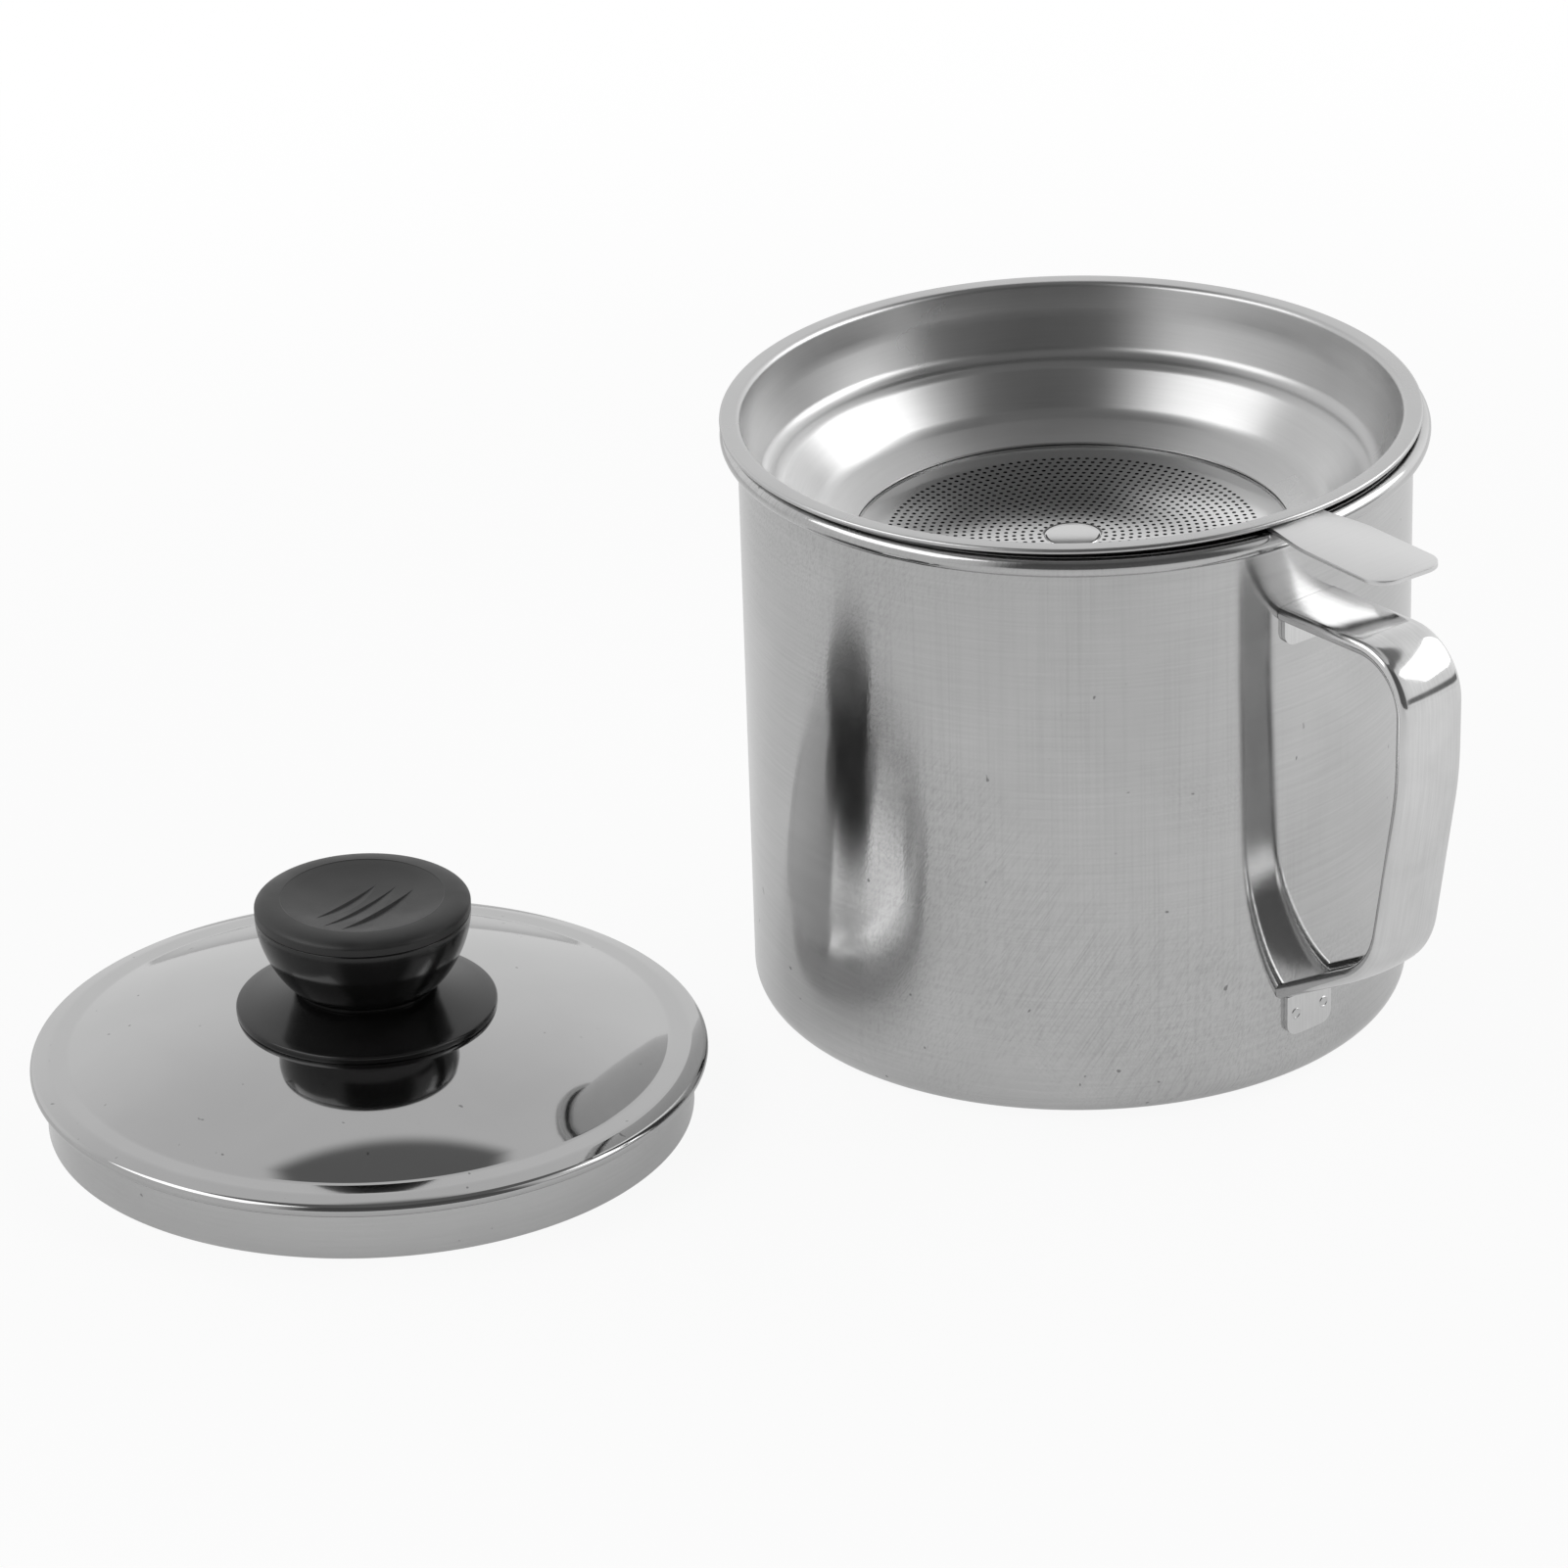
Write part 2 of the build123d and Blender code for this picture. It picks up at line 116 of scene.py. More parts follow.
def arc_from(bm, vert, centre, degrees, steps):
    """Continues a chain from its end vertex along an arc about a centre in the XZ plane."""
    made = bmesh.ops.spin(
        bm,
        geom=[vert],
        cent=(centre[0] * mm, 0, centre[1] * mm),
        axis=(0, 1, 0),
        angle=math.radians(degrees),
        steps=steps,
        use_duplicate=False,
    )
    return verts_in(made["geom_last"])[0]


def turned(bm):
    """Spins everything in the bmesh a full turn about Z."""
    geom = list(bm.verts) + list(bm.edges)
    bmesh.ops.spin(
        bm, geom=geom, cent=(0, 0, 0), axis=Z, angle=2 * math.pi, steps=turn_steps, use_merge=True
    )
    bmesh.ops.remove_doubles(bm, verts=bm.verts, dist=0.002 * mm)


def thicken(bm, thickness):
    """Gives a sheet its thickness, half to each side of the surface."""
    bmesh.ops.recalc_face_normals(bm, faces=bm.faces)
    for vert in bm.verts:
        vert.co -= vert.normal * thickness / 2 * mm
    bmesh.ops.solidify(bm, geom=bm.faces, thickness=-thickness * mm)


# %% [markdown]
# ## Steel that reflects, satin and mirror
# Sheet steel has no colour of its own to speak of: it is a mirror, blurred by fine lines from the
# rolling and the brushing. A noise texture, stretched until it is all lines, gives those lines as
# bump. The blur that they cause is wider across the lines than along them, and the shader's
# anisotropy with a tangent that runs round the piece says the same at a smaller scale. A second,
# broad noise changes the roughness a little from place to place, as handling does. The turned brass
# of the knob's insert is made in the same way, with a tint.


# %% One function for every metal finish
def link_chain(tree, *pairs):
    """Links output to input for each pair of sockets."""
    for source, target in pairs:
        tree.links.new(source, target)


def object_coords(tree):
    """The socket of the Object coordinates, in metres."""
    return tree.nodes.new("ShaderNodeTexCoord").outputs["Object"]


def stretched_noise(tree, coords, scale, detail=2.0, distortion=0.0):
    """A noise texture on Object coordinates, with its own scale along each axis, per metre."""
    mapping = tree.nodes.new("ShaderNodeMapping")
    mapping.inputs["Scale"].default_value = scale
    noise = tree.nodes.new("ShaderNodeTexNoise")
    noise.inputs["Scale"].default_value = 1.0
    noise.inputs["Detail"].default_value = detail
    noise.inputs["Distortion"].default_value = distortion
    link_chain(
        tree,
        (coords, mapping.inputs["Vector"]),
        (mapping.outputs["Vector"], noise.inputs["Vector"]),
    )
    return noise.outputs["Fac"]


def spread(tree, value, low, high, from_low=0.3, from_high=0.7):
    """Maps a noise value to a range."""
    remap = tree.nodes.new("ShaderNodeMapRange")
    remap.inputs["From Min"].default_value = from_low
    remap.inputs["From Max"].default_value = from_high
    remap.inputs["To Min"].default_value = low
    remap.inputs["To Max"].default_value = high
    tree.links.new(value, remap.inputs["Value"])
    return remap.outputs["Result"]


def two_tone(tree, share, first, second):
    """Mixes two colours into the shader's base colour, by a share socket."""
    tone = tree.nodes.new("ShaderNodeMix")
    tone.data_type = "RGBA"
    tone.inputs["A"].default_value = [*first, 1]
    tone.inputs["B"].default_value = [*second, 1]
    link_chain(
        tree,
        (share, tone.inputs["Factor"]),
        (tone.outputs["Result"], tree.nodes["Principled BSDF"].inputs["Base Color"]),
    )


def emboss(tree, relief, height):
    """Adds bump from a socket, to a height in millimetres, on top of the bump that is there."""
    normal = tree.nodes["Principled BSDF"].inputs["Normal"]
    bump = tree.nodes.new("ShaderNodeBump")
    bump.inputs["Strength"].default_value = 1.0
    bump.inputs["Distance"].default_value = height * mm
    if normal.is_linked:
        tree.links.new(normal.links[0].from_socket, bump.inputs["Normal"])
    link_chain(tree, (relief, bump.inputs["Height"]), (bump.outputs["Normal"], normal))


def steel(
    name, grey, roughness, line_scale, line_height, anisotropy=0.0, wear=0.05, smudge=25,
    line_tone=0.4, tint=(1, 1, 1),
):
    """Bare metal: a grey metal with stretched lines, uneven roughness and faint smudges."""
    material = bpy.data.materials.new(name)
    material.use_nodes = True
    tree = material.node_tree
    shader = tree.nodes["Principled BSDF"]
    shader.inputs["Metallic"].default_value = 1.0
    coords = object_coords(tree)
    handling = stretched_noise(tree, coords, (smudge, smudge, smudge), detail=4, distortion=0.4)
    lines = stretched_noise(tree, coords, line_scale, detail=3)
    marked = tree.nodes.new("ShaderNodeMix")
    marked.inputs["Factor"].default_value = line_tone
    link_chain(
        tree,
        (spread(tree, handling, 0, 1), marked.inputs["A"]),
        (spread(tree, lines, 0, 1), marked.inputs["B"]),
        (
            spread(tree, handling, roughness * (1 - 3 * wear), roughness * (1 + 3 * wear)),
            shader.inputs["Roughness"],
        ),
    )
    darker, lighter = ([grey * part * share for part in tint] for share in (1 - wear, 1 + wear))
    two_tone(tree, marked.outputs["Result"], darker, lighter)
    emboss(tree, lines, line_height)
    if anisotropy:
        quarter_turn = 0.25
        shader.inputs["Anisotropic"].default_value = anisotropy
        shader.inputs["Anisotropic Rotation"].default_value = quarter_turn
        tangent = tree.nodes.new("ShaderNodeTangent")
        tangent.direction_type = "RADIAL"
        tangent.axis = "Z"
        tree.links.new(tangent.outputs["Tangent"], shader.inputs["Tangent"])
    return material


lathe_lines = (60, 60, 2400)
wall_steel = steel(
    "satin_wall_steel", grey=0.56, roughness=0.13, line_scale=(50, 50, 2200), line_height=0.0025,
    anisotropy=0.95, wear=0.09, smudge=30,
)
bowl_steel = steel(
    "satin_bowl_steel", grey=0.56, roughness=0.3, line_scale=lathe_lines, line_height=0.0015,
    anisotropy=0.2,
)
plate_steel = steel(
    "rolled_plate_steel", grey=0.74, roughness=0.3, line_scale=(1800, 60, 60), line_height=0.003,
    wear=0.03,
)
strap_steel = steel(
    "polished_strap_steel", grey=0.7, roughness=0.1, line_scale=(70, 2600, 70), line_height=0.002,
    wear=0.1, smudge=75,
)
mirror_steel = steel(
    "mirror_steel", grey=0.5, roughness=0.05, line_scale=(25, 25, 25), line_height=0.004,
    wear=0.02, smudge=40, line_tone=0.0,
)
skirt_steel = steel(
    "satin_skirt_steel", grey=0.55, roughness=0.17, line_scale=lathe_lines, line_height=0.003,
    anisotropy=0.8,
)
disc_steel = steel(
    "mirror_disc_steel", grey=0.7, roughness=0.1, line_scale=(40, 40, 40), line_height=0.002,
    line_tone=0.0,
)
weld_steel = steel(
    "spot_weld_steel", grey=0.62, roughness=0.22, line_scale=(60, 60, 60), line_height=0.002
)
brass = steel(
    "turned_brass", grey=0.55, roughness=0.25, line_scale=lathe_lines, line_height=0.003,
    tint=(1.05, 0.78, 0.34),
)
print("steels:", wall_steel.name, bowl_steel.name, strap_steel.name, mirror_steel.name)

# %% [markdown]
# A drawn wall is also marked by its making: fine upright hairlines from the die, and short slanting
# scratches where it was polished by hand. They lie in patches, so each kind of scratch is a noise
# stretched along its own direction, faded out by a second, broad noise. A scratch under an even
# light hardly shows as relief, so painted shade darkens the metal a little along it too.


# %% Scratches in patches, with painted shade along them
def darken(tree, share, tone):
    """Takes the metal's colour towards a share of itself, where the share socket is high."""
    shader = tree.nodes["Principled BSDF"]
    worn = tree.nodes.new("ShaderNodeMix")
    worn.data_type = "RGBA"
    worn.blend_type = "MULTIPLY"
    worn.inputs["B"].default_value = (tone, tone, tone, 1)
    link_chain(
        tree,
        (shader.inputs["Base Color"].links[0].from_socket, worn.inputs["A"]),
        (share, worn.inputs["Factor"]),
        (worn.outputs["Result"], shader.inputs["Base Color"]),
    )


def scratches_with_painted_shade(material, direction, pitch, length, height, tone, patch_scale, patch_limits):
    """Adds scratch lines along the Z axis turned by degrees: bump, and painted shade along them.
    Their sizes are in millimetres.
    """
    tree = material.node_tree
    coords = object_coords(tree)
    mapping = tree.nodes.new("ShaderNodeMapping")
    mapping.vector_type = "TEXTURE"
    mapping.inputs["Rotation"].default_value = [math.radians(turn) for turn in direction]
    mapping.inputs["Scale"].default_value = (pitch * mm, pitch * mm, length * mm)
    lines = tree.nodes.new("ShaderNodeTexNoise")
    lines.inputs["Scale"].default_value = 1.0
    lines.inputs["Detail"].default_value = 1.5
    patch = stretched_noise(tree, coords, patch_scale, detail=1.5)
    share = tree.nodes.new("ShaderNodeMath")
    share.operation = "MULTIPLY"
    thin_lines = spread(tree, lines.outputs["Fac"], 0, 1, from_low=0.45, from_high=0.75)
    link_chain(
        tree,
        (coords, mapping.inputs["Vector"]),
        (mapping.outputs["Vector"], lines.inputs["Vector"]),
        (thin_lines, share.inputs[0]),
        (spread(tree, patch, 0, 1, *patch_limits), share.inputs[1]),
    )
    emboss(tree, share.outputs[0], height)
    # Painted shade: the metal's colour is darkened by the tone along each scratch.
    darken(tree, share.outputs[0], tone)


def specks(material, scale, limit, tone):
    """Adds small dark specks, as old grease leaves them. A higher limit makes them rarer."""
    tree = material.node_tree
    spots = stretched_noise(tree, object_coords(tree), (scale, scale, scale), detail=1)
    edge_width = 0.03
    darken(tree, spread(tree, spots, 0, 1, limit, limit + edge_width), tone)


# Each tone sets how dark the painted shade is along that kind of scratch.
scratches_with_painted_shade(
    wall_steel, direction=(0, 0, 0), pitch=0.5, length=70, height=0.002, tone=0.92,
    patch_scale=(16, 16, 5), patch_limits=(0.5, 0.66),
)
scratches_with_painted_shade(
    wall_steel, direction=(0, 32, 47), pitch=0.38, length=30, height=0.004, tone=0.84,
    patch_scale=(20, 20, 16), patch_limits=(0.48, 0.64),
)
scratches_with_painted_shade(
    wall_steel, direction=(0, -48, 20), pitch=0.38, length=20, height=0.002, tone=0.92,
    patch_scale=(26, 26, 26), patch_limits=(0.53, 0.67),
)
specks(wall_steel, scale=420, limit=0.785, tone=0.5)
specks(mirror_steel, scale=480, limit=0.775, tone=0.55)
specks(skirt_steel, scale=420, limit=0.77, tone=0.6)
print("wall steel has", len(wall_steel.node_tree.nodes), "shader nodes")

# %% [markdown]
# ## Black knob plastic
# The knob is one phenolic grip with a glossy skin, and a matt cap is fixed in its top. Both are
# black, and what tells them apart is only how rough they are, so each gets a fine grain at its own
# height.


# %% Plastic
def plastic(name, grey, roughness, grain_height):
    """Moulded black plastic with a fine grain and an uneven sheen."""
    material = bpy.data.materials.new(name)
    material.use_nodes = True
    tree = material.node_tree
    shader = tree.nodes["Principled BSDF"]
    coords = object_coords(tree)
    grain_scale, handling_scale = 2600, 120
    grain = stretched_noise(tree, coords, [grain_scale] * 3, detail=2)
    handling = stretched_noise(tree, coords, [handling_scale] * 3, detail=4, distortion=0.4)
    two_tone(tree, spread(tree, handling, 0, 1), [grey * 0.8] * 3, [grey * 1.2] * 3)
    uneven = spread(tree, handling, roughness * 0.85, roughness * 1.15)
    tree.links.new(uneven, shader.inputs["Roughness"])
    emboss(tree, grain, grain_height)
    return material


gloss_black = plastic("gloss_black_plastic", grey=0.008, roughness=0.16, grain_height=0.002)
matte_black = plastic("matte_black_plastic", grey=0.022, roughness=0.42, grain_height=0.012)
print("plastics:", gloss_black.name, matte_black.name)

# %% [markdown]
# ## The cup
# The cup is deep drawn from one disc of sheet, and its mouth is rolled outwards into a bead. The
# solid has it right, and a solid's surface is made of flat facets. Spinning the middle line of the
# sheet gives a surface with no visible facet, and a solidify step gives it its thickness.

# %% Cup body
_, cup_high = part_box("cup_body")
cup_sheet = 0.5
bead_radius = 2.05
bead_turn = 285
base_corner = 6.2
foot_radius = 69.0
cup_height = round(cup_high.z / mm, 1)
mouth_radius = cup_high.x / mm - 2 * bead_radius + cup_sheet
bead_centre = (mouth_radius - cup_sheet + bead_radius, cup_height - bead_radius)
print("cup: height", cup_height, "mouth radius", round(mouth_radius, 2))


def wall_radius(height):
    """Outside radius of the slightly tapered wall, in millimetres."""
    return foot_radius + (mouth_radius - foot_radius) * height / bead_centre[1]


bm = bmesh.new()
cup_line = chain(
    bm,
    [
        (0, cup_sheet / 2),
        (foot_radius - cup_sheet / 2, cup_sheet / 2),
        (mouth_radius - cup_sheet / 2, bead_centre[1]),
    ],
)
arc_from(bm, cup_line[2], bead_centre, bead_turn, steps=36)
round_corner(bm, cup_line[1], base_corner - cup_sheet / 2, steps=12)
long_runs = [edge for edge in bm.edges if edge.calc_length() > 20 * mm]
bmesh.ops.subdivide_edges(bm, edges=long_runs, cuts=24)
turned(bm)
thicken(bm, cup_sheet)
cup = finish_piece(bm, "cup_shell", "cup", wall_steel)
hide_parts("cup_body")

# %% [markdown]
# ## The handle
# The handle is a strip with its edges curled in, bent into a D. A curve with a bevel object would
# follow the same line, and its section would tilt and pinch in the bends. Here the section is
# pushed along each straight run and spun round each bend, as the bending tool does it, so every
# bend is a true arc.

# %% Path of the strap, from the solid's box
handle_low, handle_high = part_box("handle")
strap_sheet = 1.1
strap_width = (handle_high.y - handle_low.y) / mm
strap_middle = strap_sheet / 2
grip_x = round(handle_high.x / mm, 1) - strap_middle
top_z = handle_high.z / mm - strap_middle
knee_height, knee_inset = 80.0, 0.6
heel_height, heel_inset = 36.0, 8.5
lower_root_height, lower_root_radius = 20.6, 69.16
strap_points = [
    (mouth_radius, top_z),
    (grip_x, top_z),
    (grip_x - knee_inset, knee_height),
    (grip_x - heel_inset, heel_height + strap_middle),
    (lower_root_radius, lower_root_height + strap_middle),
]
shoulder_bend, knee_bend, heel_bend = 14.0, 80.0, 20.0
strap_bends = [bend - strap_middle for bend in (shoulder_bend, knee_bend, heel_bend)]
bend_steps = (20, 10, 14)
curl_radius = 1.05
curl_turn, curl_steps = 200, 14
crown = 0.45
weld_gap = 0.04
print("strap:", round(strap_width, 2), "mm wide, grip at x", round(grip_x, 2))


# %% Push and bend a section along a path in the XZ plane
def sweep(bm, section_verts, points, bends, steps_per_bend):
    """Extrudes a section along straight runs and spins it round the bends between them."""
    path = [Vector((x * mm, 0, z * mm)) for x, z in points]
    ring = list(section_verts)
    ring_edges = list({edge for vert in ring for edge in vert.link_edges})
    here = path[0]
    for corner, after, bend, steps in zip(path[1:], path[2:], bends, steps_per_bend):
        come = (corner - here).normalized()
        go = (after - corner).normalized()
        turn = come.angle(go)
        reach = bend * mm * math.tan(turn / 2)
        ring, ring_edges = push(bm, ring_edges, corner - come * reach - here)
        side = come.cross(go).normalized()
        centre = corner - come * reach + side.cross(come) * bend * mm
        bent = bmesh.ops.spin(
            bm, geom=ring + ring_edges, cent=centre, axis=side, angle=turn, steps=steps,
            use_duplicate=False,
        )["geom_last"]
        ring, ring_edges = verts_in(bent), edges_in(bent)
        here = corner + go * reach
    return push(bm, ring_edges, path[-1] - here)


def push(bm, ring_edges, run):
    """Extrudes a ring of edges along a run, in a few cuts so that the faces stay short."""
    longest_face = 6 * mm
    cuts = max(1, round(run.length / longest_face))
    for _ in range(cuts):
        made = bmesh.ops.extrude_edge_only(bm, edges=ring_edges)["geom"]
        ring = verts_in(made)
        bmesh.ops.translate(bm, verts=ring, vec=run / cuts)
        ring_edges = [edge for edge in edges_in(made) if set(edge.verts) <= set(ring)]
    return ring, ring_edges


def to_wall(verts, direction):
    """Slides vertices along a direction until they meet the cup's wall, in ever smaller steps."""
    for vert in verts:
        for _ in range(8):
            wall = (wall_radius(vert.co.z / mm) + weld_gap) * mm
            vert.co += direction * (math.hypot(vert.co.x, vert.co.y) - wall)


# %% Strap
bm = bmesh.new()
web_half = strap_width / 2 - strap_middle - curl_radius
web_steps = 12
start_x, start_z = strap_points[0]
crown_slope = math.atan(2 * crown / web_half)
web = []
for step in range(web_steps + 1):
    share = 2 * step / web_steps - 1
    place = Vector((start_x, web_half * share, start_z - crown * share**2))
    web.append(bm.verts.new(place * mm))
for a, b in zip(web, web[1:]):
    bm.edges.new((a, b))
for side, end in ((-1, web[0]), (1, web[-1])):
    bmesh.ops.spin(
        bm,
        geom=[end],
        cent=(
            start_x * mm,
            side * (web_half - curl_radius * math.sin(crown_slope)) * mm,
            (start_z - crown - curl_radius * math.cos(crown_slope)) * mm,
        ),
        axis=(-side, 0, 0),
        angle=math.radians(curl_turn),
        steps=curl_steps,
        use_duplicate=False,
    )
section = list(bm.verts)
last_ring, _ = sweep(bm, section, strap_points, strap_bends, bend_steps)
to_wall(section, Vector((-1, 0, 0)))
heel, lower_root = (Vector((x, 0, z)) for x, z in strap_points[-2:])
to_wall(last_ring, (lower_root - heel).normalized())
thicken(bm, strap_sheet)
strap = finish_piece(bm, "handle_strap", "cup", strap_steel)
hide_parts("handle")


# %% Weld tabs
tab_corner = 2.6
tab_strips = 12


def weld_tab(name, foot, top, width):
    """A plate with two rounded lower corners, bent round the cup's wall."""
    bm = bmesh.new()
    corners = [
        bm.verts.new((0, y * mm, z * mm))
        for y, z in ((-width / 2, foot), (width / 2, foot), (width / 2, top), (-width / 2, top))
    ]
    bm.faces.new(corners)
    for vert in corners[:2]:
        bmesh.ops.bevel(
            bm, geom=[vert], offset=tab_corner * mm, segments=8, profile=0.5,
            affect="VERTICES", material=-1,
        )
    for step in range(1, tab_strips):
        y = (-width / 2 + width * step / tab_strips) * mm
        bmesh.ops.bisect_plane(
            bm, geom=bm.verts[:] + bm.edges[:] + bm.faces[:], plane_co=(0, y, 0),
            plane_no=(0, 1, 0),
        )
    for vert in bm.verts:
        radius = (wall_radius(vert.co.z / mm) + weld_gap + strap_middle) * mm
        vert.co.x = math.sqrt(radius**2 - vert.co.y**2)
    thicken(bm, strap_sheet)
    tab = finish_piece(bm, name, "cup", strap_steel)
    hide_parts("handle")


upper_tab_foot = 101.4
lower_tab_foot = 12.1
lower_tab_top = lower_root_height + strap_middle
weld_tab("handle_tab_upper", upper_tab_foot, top_z, width=15.0)
weld_tab("handle_tab_lower", lower_tab_foot, lower_tab_top, width=12.4)

# %% [markdown]
# Each tab is held by two spot welds. The electrode leaves a small crater with a raised ring, so the
# mark is a little turned profile that is set on the tab, square to the wall.

# %% Spot weld marks on the tabs
spot_offset = 3.9
spot_above_foot = 4.8
mark_line = [(0, 0.02), (0.85, 0.02), (0.95, 0.13), (1.1, 0.15), (1.3, -0.02), (1.3, -0.4)]
mark_steps = 32
bm = bmesh.new()
chain(bm, mark_line)
bmesh.ops.spin(
    bm, geom=bm.verts[:] + bm.edges[:], cent=(0, 0, 0), axis=Z, angle=2 * math.pi,
    steps=mark_steps, use_merge=True,
)
bmesh.ops.remove_doubles(bm, verts=bm.verts, dist=0.002 * mm)
mark = bm.verts[:] + bm.edges[:] + bm.faces[:]
for foot in (upper_tab_foot, lower_tab_foot):
    for y in (-spot_offset, spot_offset):
        height = foot + spot_above_foot
        radius = wall_radius(height) + weld_gap + strap_sheet
        place = (
            Matrix.Rotation(math.asin(y / radius), 4, "Z")
            @ Matrix.Translation((radius * mm, 0, height * mm))
            @ Matrix.Rotation(math.pi / 2, 4, "Y")
        )
        copied = bmesh.ops.duplicate(bm, geom=mark)["geom"]
        bmesh.ops.transform(bm, matrix=place, verts=verts_in(copied))
bmesh.ops.delete(bm, geom=verts_in(mark), context="VERTS")
welds = finish_piece(bm, "handle_weld_marks", "cup", weld_steel)
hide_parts("handle_spot_welds")

# %% [markdown]
# ## The strainer bowl
# The strainer is a pressed bowl with a flat rim, a near upright wall, a ledge, a steep cone and a
# shallow cone down to the disc. Its edge is folded flat under itself, and the foot of the shallow
# cone is folded round the perforated disc. It sits a little off the cup's axis, and the thumb tab
# under its rim lifts one side, so it is made upright at the origin and then set down in its seat.

# %% The strainer's seat
seat_gap = 0.25
seat_shift = 0.8
seat_bearing = math.radians(227)
tab_sheet = 1.0
tab_bearing = math.radians(-3.6)
tilt = math.atan(tab_sheet / (2 * bead_centre[0]))
seat_place = Vector((seat_shift * math.cos(seat_bearing), seat_shift * math.sin(seat_bearing), 0))
seat_place.z = cup_height + seat_gap + tab_sheet / 2
seat = (
    Matrix.Translation(seat_place * mm)
    @ Matrix.Rotation(-tilt, 4, "Y")
    @ Matrix.Rotation(tab_bearing, 4, "Z")
)
strainer_sheet = 0.6
rim_top = 2 * strainer_sheet


def below_rim(radius, depth):
    """A point of the strainer's section, by its depth below the rim's top face."""
    return (radius, rim_top - depth)


# %% Bowl with its hem and its seam
bm = bmesh.new()
hem_bend = strainer_sheet / 2 + 0.01
hem_width = 2.2
rim_outer = 72.8
rim_bend_radius = rim_outer - rim_top / 2
disc_opening, lip_depth = 45.5, 27.4
funnel_radius, funnel_depth = 53.3, 24.1
ledge_radius, ledge_depth = 64.2, 14.9
ledge_width, ledge_fall = 3.6, 0.4
waist_radius, waist_depth = 67.4, 6.5
mouth_wall_radius = 68.9
seam_inner, seam_outer = 47.5, 49.8
seam_foot, seam_top = 28.7, 25.8
bowl_corner_radii = (7.0, 3.4, 3.4, 20.0, 1.0)
bowl_line = chain(
    bm,
    [
        below_rim(disc_opening, lip_depth),
        below_rim(funnel_radius, funnel_depth),
        below_rim(ledge_radius - ledge_width, ledge_depth + ledge_fall),
        below_rim(ledge_radius, ledge_depth),
        below_rim(waist_radius, waist_depth),
        below_rim(mouth_wall_radius, strainer_sheet / 2),
        below_rim(rim_bend_radius, strainer_sheet / 2),
    ],
)
hem_centre = below_rim(rim_bend_radius, strainer_sheet / 2 + hem_bend)
hem_end = arc_from(bm, bowl_line[-1], hem_centre, degrees=180, steps=12)
hem_inner = bm.verts.new(hem_end.co - Vector((hem_width * mm, 0, 0)))
bm.edges.new((hem_end, hem_inner))
for corner, radius in zip(bowl_line[1:6], bowl_corner_radii):
    round_corner(bm, corner, radius, steps=10)
seam_line = chain(
    bm,
    [
        below_rim(seam_inner, seam_foot),
        below_rim(seam_outer, seam_foot),
        below_rim(seam_outer, seam_top),
    ],
)
round_corner(bm, seam_line[1], 0.5, steps=6)
turned(bm)
thicken(bm, strainer_sheet)
bmesh.ops.transform(bm, matrix=seat, verts=bm.verts)
bowl = finish_piece(bm, "strainer_pressing", "strainer", bowl_steel)
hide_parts("strainer_bowl")

# %% [markdown]
# ## The filter disc
# The disc has rings of punched holes, six more holes in each ring than in the ring inside it. A
# texture with transparent dots would be cheap, and it would have no thickness and cast no true
# shadow. So the holes are real: each ring of them is filled with triangles between two circles, the
# rings are joined, and a last step presses the sheet into its slight dish and gives it thickness.

# %% One ring of holes
ring_pitch = 1.744
hole_radius = 0.46
hole_sides = 12
first_ring, last_ring = 4, 22
zone_inner, zone_outer = 6.1, 39.4


def circle_edges(bm, radius, segments, place):
    """A circle's edges, from a radius in millimetres and a place."""
    made = bmesh.ops.create_circle(bm, radius=radius * mm, segments=segments, matrix=place)
    return list({edge for vert in made["verts"] for edge in vert.link_edges})


def hole_ring(ring, inner, outer):
    """The sheet between two circles with one ring of holes punched in it, as a mesh."""
    bm = bmesh.new()
    edges = circle_edges(bm, inner, turn_steps, Matrix())
    edges += circle_edges(bm, outer, turn_steps, Matrix())
    first_place = Matrix.Translation((ring * ring_pitch * mm, 0, 0))
    for step in range(6 * ring):
        turn = Matrix.Rotation(2 * math.pi * step / (6 * ring), 4, "Z")
        edges += circle_edges(bm, hole_radius, hole_sides, turn @ first_place)
    bmesh.ops.triangle_fill(bm, edges=edges, use_beauty=True, use_dissolve=False, normal=Z)
    mesh = bpy.data.meshes.new(f"hole_ring_{ring}")
    bm.to_mesh(mesh)
    bm.free()
    return mesh


# %% Disc
disc_sheet = 0.5
disc_edge = 49.35
disc_depth = 27.8
disc_dish, dish_edge = 1.0, 41.0
plain_border = (zone_outer, 40.6, 41.6, 44, 47, disc_edge)
boss_line = [
    (zone_inner, 0), (5.95, 0.02), (5.85, 0.14), (5.65, 0.16), (5.5, 0.06), (5.2, 0.04), (0, 0.04)
]
between_rings = [(ring + 0.5) * ring_pitch for ring in range(first_ring, last_ring)]
borders = [zone_inner, *between_rings, zone_outer]
bm = bmesh.new()
chain(bm, [(radius, 0) for radius in plain_border])
chain(bm, boss_line)
turned(bm)
for ring, inner, outer in zip(range(first_ring, last_ring + 1), borders, borders[1:]):
    ring_mesh = hole_ring(ring, inner, outer)
    bm.from_mesh(ring_mesh)
    bpy.data.meshes.remove(ring_mesh)
bmesh.ops.remove_doubles(bm, verts=bm.verts, dist=0.01 * mm)
for vert in bm.verts:
    reach = min(1, math.hypot(vert.co.x, vert.co.y) / (dish_edge * mm))
    vert.co.z -= disc_dish * mm * (1 - reach**2)
bmesh.ops.recalc_face_normals(bm, faces=bm.faces)
if sum(face.normal.z for face in bm.faces) < 0:
    bmesh.ops.reverse_faces(bm, faces=bm.faces)
bottom = bmesh.ops.extrude_face_region(bm, geom=bm.faces[:], use_keep_orig=True)["geom"]
